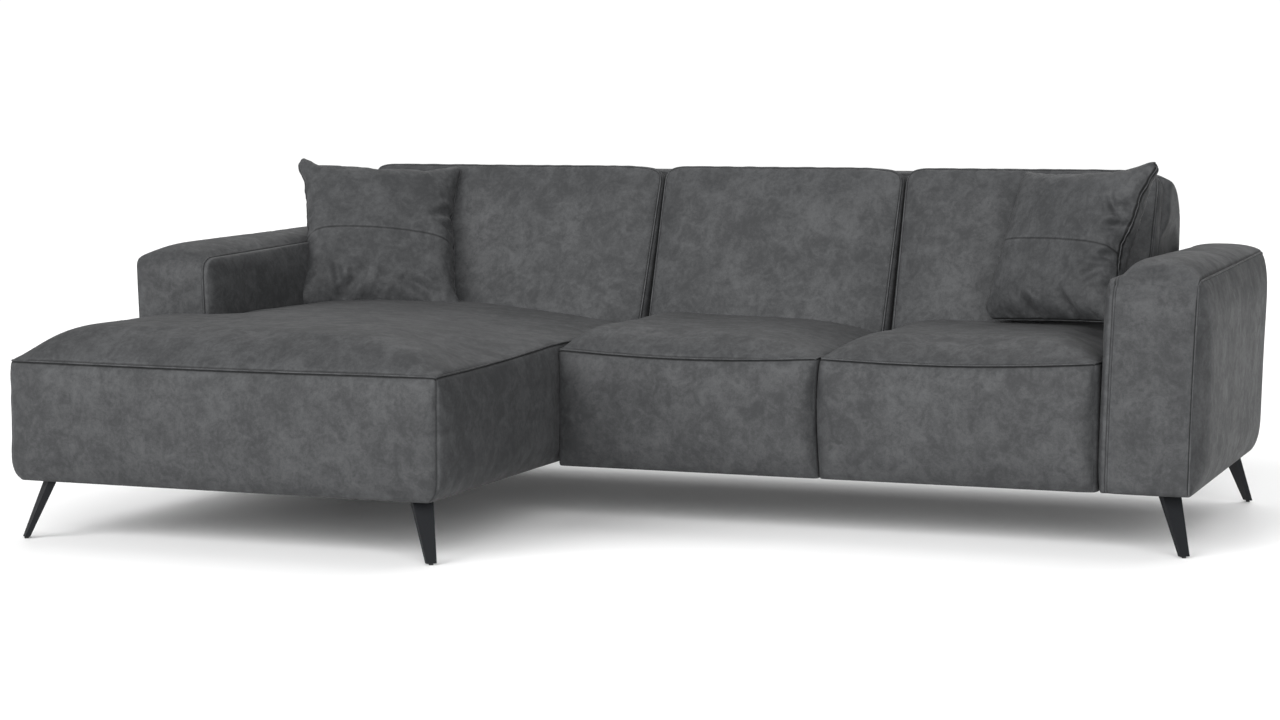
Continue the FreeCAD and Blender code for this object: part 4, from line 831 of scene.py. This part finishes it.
right_ears = (
    ((1, 1), (0.019, 0.019), 0.20),
    ((1, 1), (-0.019, -0.019), 0.055),
    ((-1, -1), (-0.026, -0.026), 0.13),
    ((-1, 1), (-0.006, -0.006), 0.06),
)
THROWS = {
    "left": {"turn": 28.8, "lean": 31, "roll": 3.1, "shift": (-0.029, -0.006, -0.008), "span": 0.217,
             "arch": (-0.07, -0.09, -0.035), "pinch": -0.006, "ears": left_ears, "folds": left_folds,
             "seed": 7},
    "right": {"turn": -29, "lean": 25, "roll": -2.9, "shift": (0.004, 0.0, 0.014), "span": 0.204,
              "arch": (-0.06, -0.04, -0.04), "pinch": 0.014, "ears": right_ears, "folds": right_folds,
              "seed": 11},
}
PILLOW_COVER = {"pressure": 3.0, "spare": 0.0, "reach": 0.3, "frames": 18}
pillow_half, pillow_thin, pillow_depth = 0.226, 0.004, 0.146
plump_start, plump_unblown, crease = 0.02, 0.062, 0.0006
flattened, flat_slack, flat_from = 0.85, 0.004, 0.55
pinch_level, pinch_breadth = 0.05, 0.28
arch_shade_offset, pillow_roll = 0.0026, 0.0018
pillow_low = (-pillow_half, -pillow_thin, -pillow_half)
pillow_high = (pillow_half, pillow_thin, pillow_half)
for side, throw in THROWS.items():
    cover_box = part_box("throw_cushion_%s_cover" % side)
    pillow = stuffed_block("throw_cushion_" + side, pillow_low, pillow_high, (64, 2, 64))
    pillow_start = read_places(pillow)
    shape = pillow_start.copy()
    across, up = pillow_start[:, 0] / pillow_half, pillow_start[:, 2] / pillow_half
    arch = throw["arch"][0] + throw["arch"][1] * across ** 2 + throw["arch"][2] * across
    shape[:, 2] += pillow_half * arch * (1 - np.abs(up) ** 1.5)
    body = np.maximum((1 - across ** 4) * (1 - up ** 4), 0)
    plump = plump_start
    shape[:, 1] += np.sign(pillow_start[:, 1]) * plump * body ** 0.6
    creases = np.random.default_rng(throw["seed"]).normal(0, crease, len(shape))
    shape[:, 1] += creases * (np.abs(pillow_start[:, 1]) > 0)
    write_places(pillow, shape)
    stuff(pillow, np.zeros(len(shape)), **PILLOW_COVER)
    shape = read_places(pillow)
    shape -= (shape.min(axis=0) + shape.max(axis=0)) / 2
    grown = np.array([np.abs(shape[:, 0]).max(), np.ptp(shape[:, 1]), np.abs(shape[:, 2]).max()])
    shape *= (throw["span"], pillow_depth, throw["span"]) / grown
    for (x_end, z_end), (pull_across, pull_up), spread in throw["ears"]:
        near = np.exp(-(np.hypot(x_end - across, z_end - up) / spread) ** 2)
        shape[:, 0] += pull_across * near * x_end
        shape[:, 2] += pull_up * near * z_end
    low_edge = (np.abs(pillow_start[:, 1]) < 1e-5) & (up < -1 + 1e-5)
    order = np.argsort(shape[low_edge, 0])
    edge_height = np.interp(shape[:, 0], shape[low_edge, 0][order], shape[low_edge, 2][order])
    sag = np.maximum(edge_height - shape[:, 2].min() - flat_slack, 0)
    shape[:, 2] -= flattened * sag * np.clip((-up - flat_from) / (1 - flat_from), 0, 1) ** 2
    pinched = np.exp(-((up - pinch_level) / pinch_breadth) ** 2)
    shape[:, 0] -= throw["pinch"] * pinched * np.clip(across, 0, 1) ** 3
    write_places(pillow, shape)
    press_folds(pillow, (0, 2), (0, -1, 0), throw["folds"])
    mark_seams(pillow, pillow_start, pillow_low, pillow_high, [], sink=0)
    # Painted shade: the seam note darkens the hide along the edge seam, with a painted highlight beside it,
    # and less darkly along the arched seam on the front, which has no groove of its own.
    edge_gap = pillow_half - np.abs(pillow_start[:, (0, 2)]).max(axis=1)
    from_arch = np.maximum(np.abs(pillow_start[:, 2]), arch_shade_offset)
    seam_note = np.where(pillow_start[:, 1] < 0, np.minimum(from_arch, edge_gap), edge_gap)
    pillow.data.attributes["seam"].data.foreach_set("value", seam_note.astype(np.float32))
    on_edge = (edge_gap < 1e-5) & (np.abs(pillow_start[:, 1]) < 1e-5)
    pillow.data.attributes["rolled"].data.foreach_set("value", np.where(on_edge, 0, 1).astype(np.float32))
    pillow.rotation_mode = "YXZ"
    angles = (-throw["lean"], throw["roll"], throw["turn"])
    pillow.rotation_euler = [math.radians(angle) for angle in angles]
    pillow.location = (cover_box[0] + cover_box[1]) / 2 + Vector(throw["shift"])
    only(pillow)
    bpy.ops.object.transform_apply(location=True, rotation=True, scale=True)
    pillow.rotation_mode = "XYZ"
    round_mesh(pillow)
    rolled_edge(pillow, pillow_roll)
    declare(pillow, 0.7, "throw_cushion_" + side, "throw_cushion_%s_cover" % side,
            "throw_cushion_%s_filling" % side)


# The legs and their fixings: tapered steel blades welded to square plates and powder coated matt
# black, plastic glides, and zinc screws, bolts and flat bars that hold the modules together.
def plain_finish(name, colour, roughness, metallic, grain, depth):
    """A fine-grained finish whose tone and gloss vary a little over the surface."""
    darker, lighter, gloss_swing = 0.8, 1.2, 0.08
    material = bpy.data.materials.new(name)
    material.use_nodes = True
    tree = material.node_tree
    shader = tree.nodes["Principled BSDF"]
    place = tree.nodes.new("ShaderNodeTexCoord")
    speckle = shader_node(tree, "ShaderNodeTexNoise", Scale=grain, Detail=4, Roughness=0.6)
    wire(tree, place.outputs["Object"], speckle.inputs["Vector"])
    tone = shader_node(tree, "ShaderNodeValToRGB")
    for stop, position, share in zip(tone.color_ramp.elements, (0.3, 0.7), (darker, lighter)):
        stop.position = position
        stop.color = (*[min(level * share, 1) for level in colour], 1)
    wire(tree, speckle.outputs["Fac"], tone.inputs["Fac"])
    wire(tree, tone.outputs["Color"], shader.inputs["Base Color"])
    gloss = blend_values(tree, speckle.outputs["Fac"], roughness - gloss_swing, roughness + gloss_swing)
    wire(tree, gloss, shader.inputs["Roughness"])
    shader.inputs["Metallic"].default_value = metallic
    shader.inputs["Specular IOR Level"].default_value = 0.15
    bump = shader_node(tree, "ShaderNodeBump", Strength=0.4, Distance=depth)
    wire(tree, speckle.outputs["Fac"], bump.inputs["Height"])
    wire(tree, bump.outputs["Normal"], shader.inputs["Normal"])
    return material


def dress(finish, *names):
    """Give one finish to the CAD pieces that are shown as they are."""
    for name in names:
        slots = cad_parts[name].data.materials
        slots.clear()
        slots.append(finish)


powder_coat = plain_finish("black_powder_coat", (0.0058, 0.0064, 0.0076), 0.55, 0.0, 900, 0.0002)
zinc = plain_finish("zinc_plate", (0.55, 0.56, 0.58), 0.38, 1.0, 300, 0.00005)
glide_plastic = plain_finish("glide_plastic", (0.02, 0.02, 0.02), 0.5, 0.0, 400, 0.0001)
dress(powder_coat, "leg_chaise_front_left", "leg_chaise_front_right", "leg_chaise_rear_left",
      "leg_seat_front_right", "leg_seat_rear_right")
dress(zinc, "leg_screws", "coupling_bars", "coupling_screws", "arm_bolts")
dress(glide_plastic, "foot_glides")


# The inside: pine and plywood frames, black dust cloth stapled under the bases, elastic straps under
# the chaise foam and behind the back foams, and felt over zigzag springs under the seats.
pine = plain_finish("frame_pine", (0.52, 0.36, 0.20), 0.7, 0.0, 60, 0.0005)
dust_cloth = plain_finish("dust_cloth_black", (0.012, 0.012, 0.013), 0.9, 0.0, 700, 0.0004)
elastic = plain_finish("elastic_strap", (0.05, 0.05, 0.06), 0.8, 0.0, 500, 0.0005)
felt = plain_finish("grey_felt", (0.22, 0.22, 0.23), 0.95, 0.0, 250, 0.001)
spring_wire = plain_finish("spring_wire", (0.30, 0.30, 0.31), 0.4, 1.0, 300, 0.00005)
dress(pine, "chaise_base_frame", "seat_base_frame", "back_frame_chaise", "back_frame_seats",
      "arm_frame_left", "arm_frame_right")
dress(dust_cloth, "chaise_dust_cover", "seat_dust_cover")
dress(elastic, "chaise_webbing", "back_webbing_chaise", "back_webbing_seats")
dress(felt, "seat_spring_felt")
dress(spring_wire, "seat_springs")
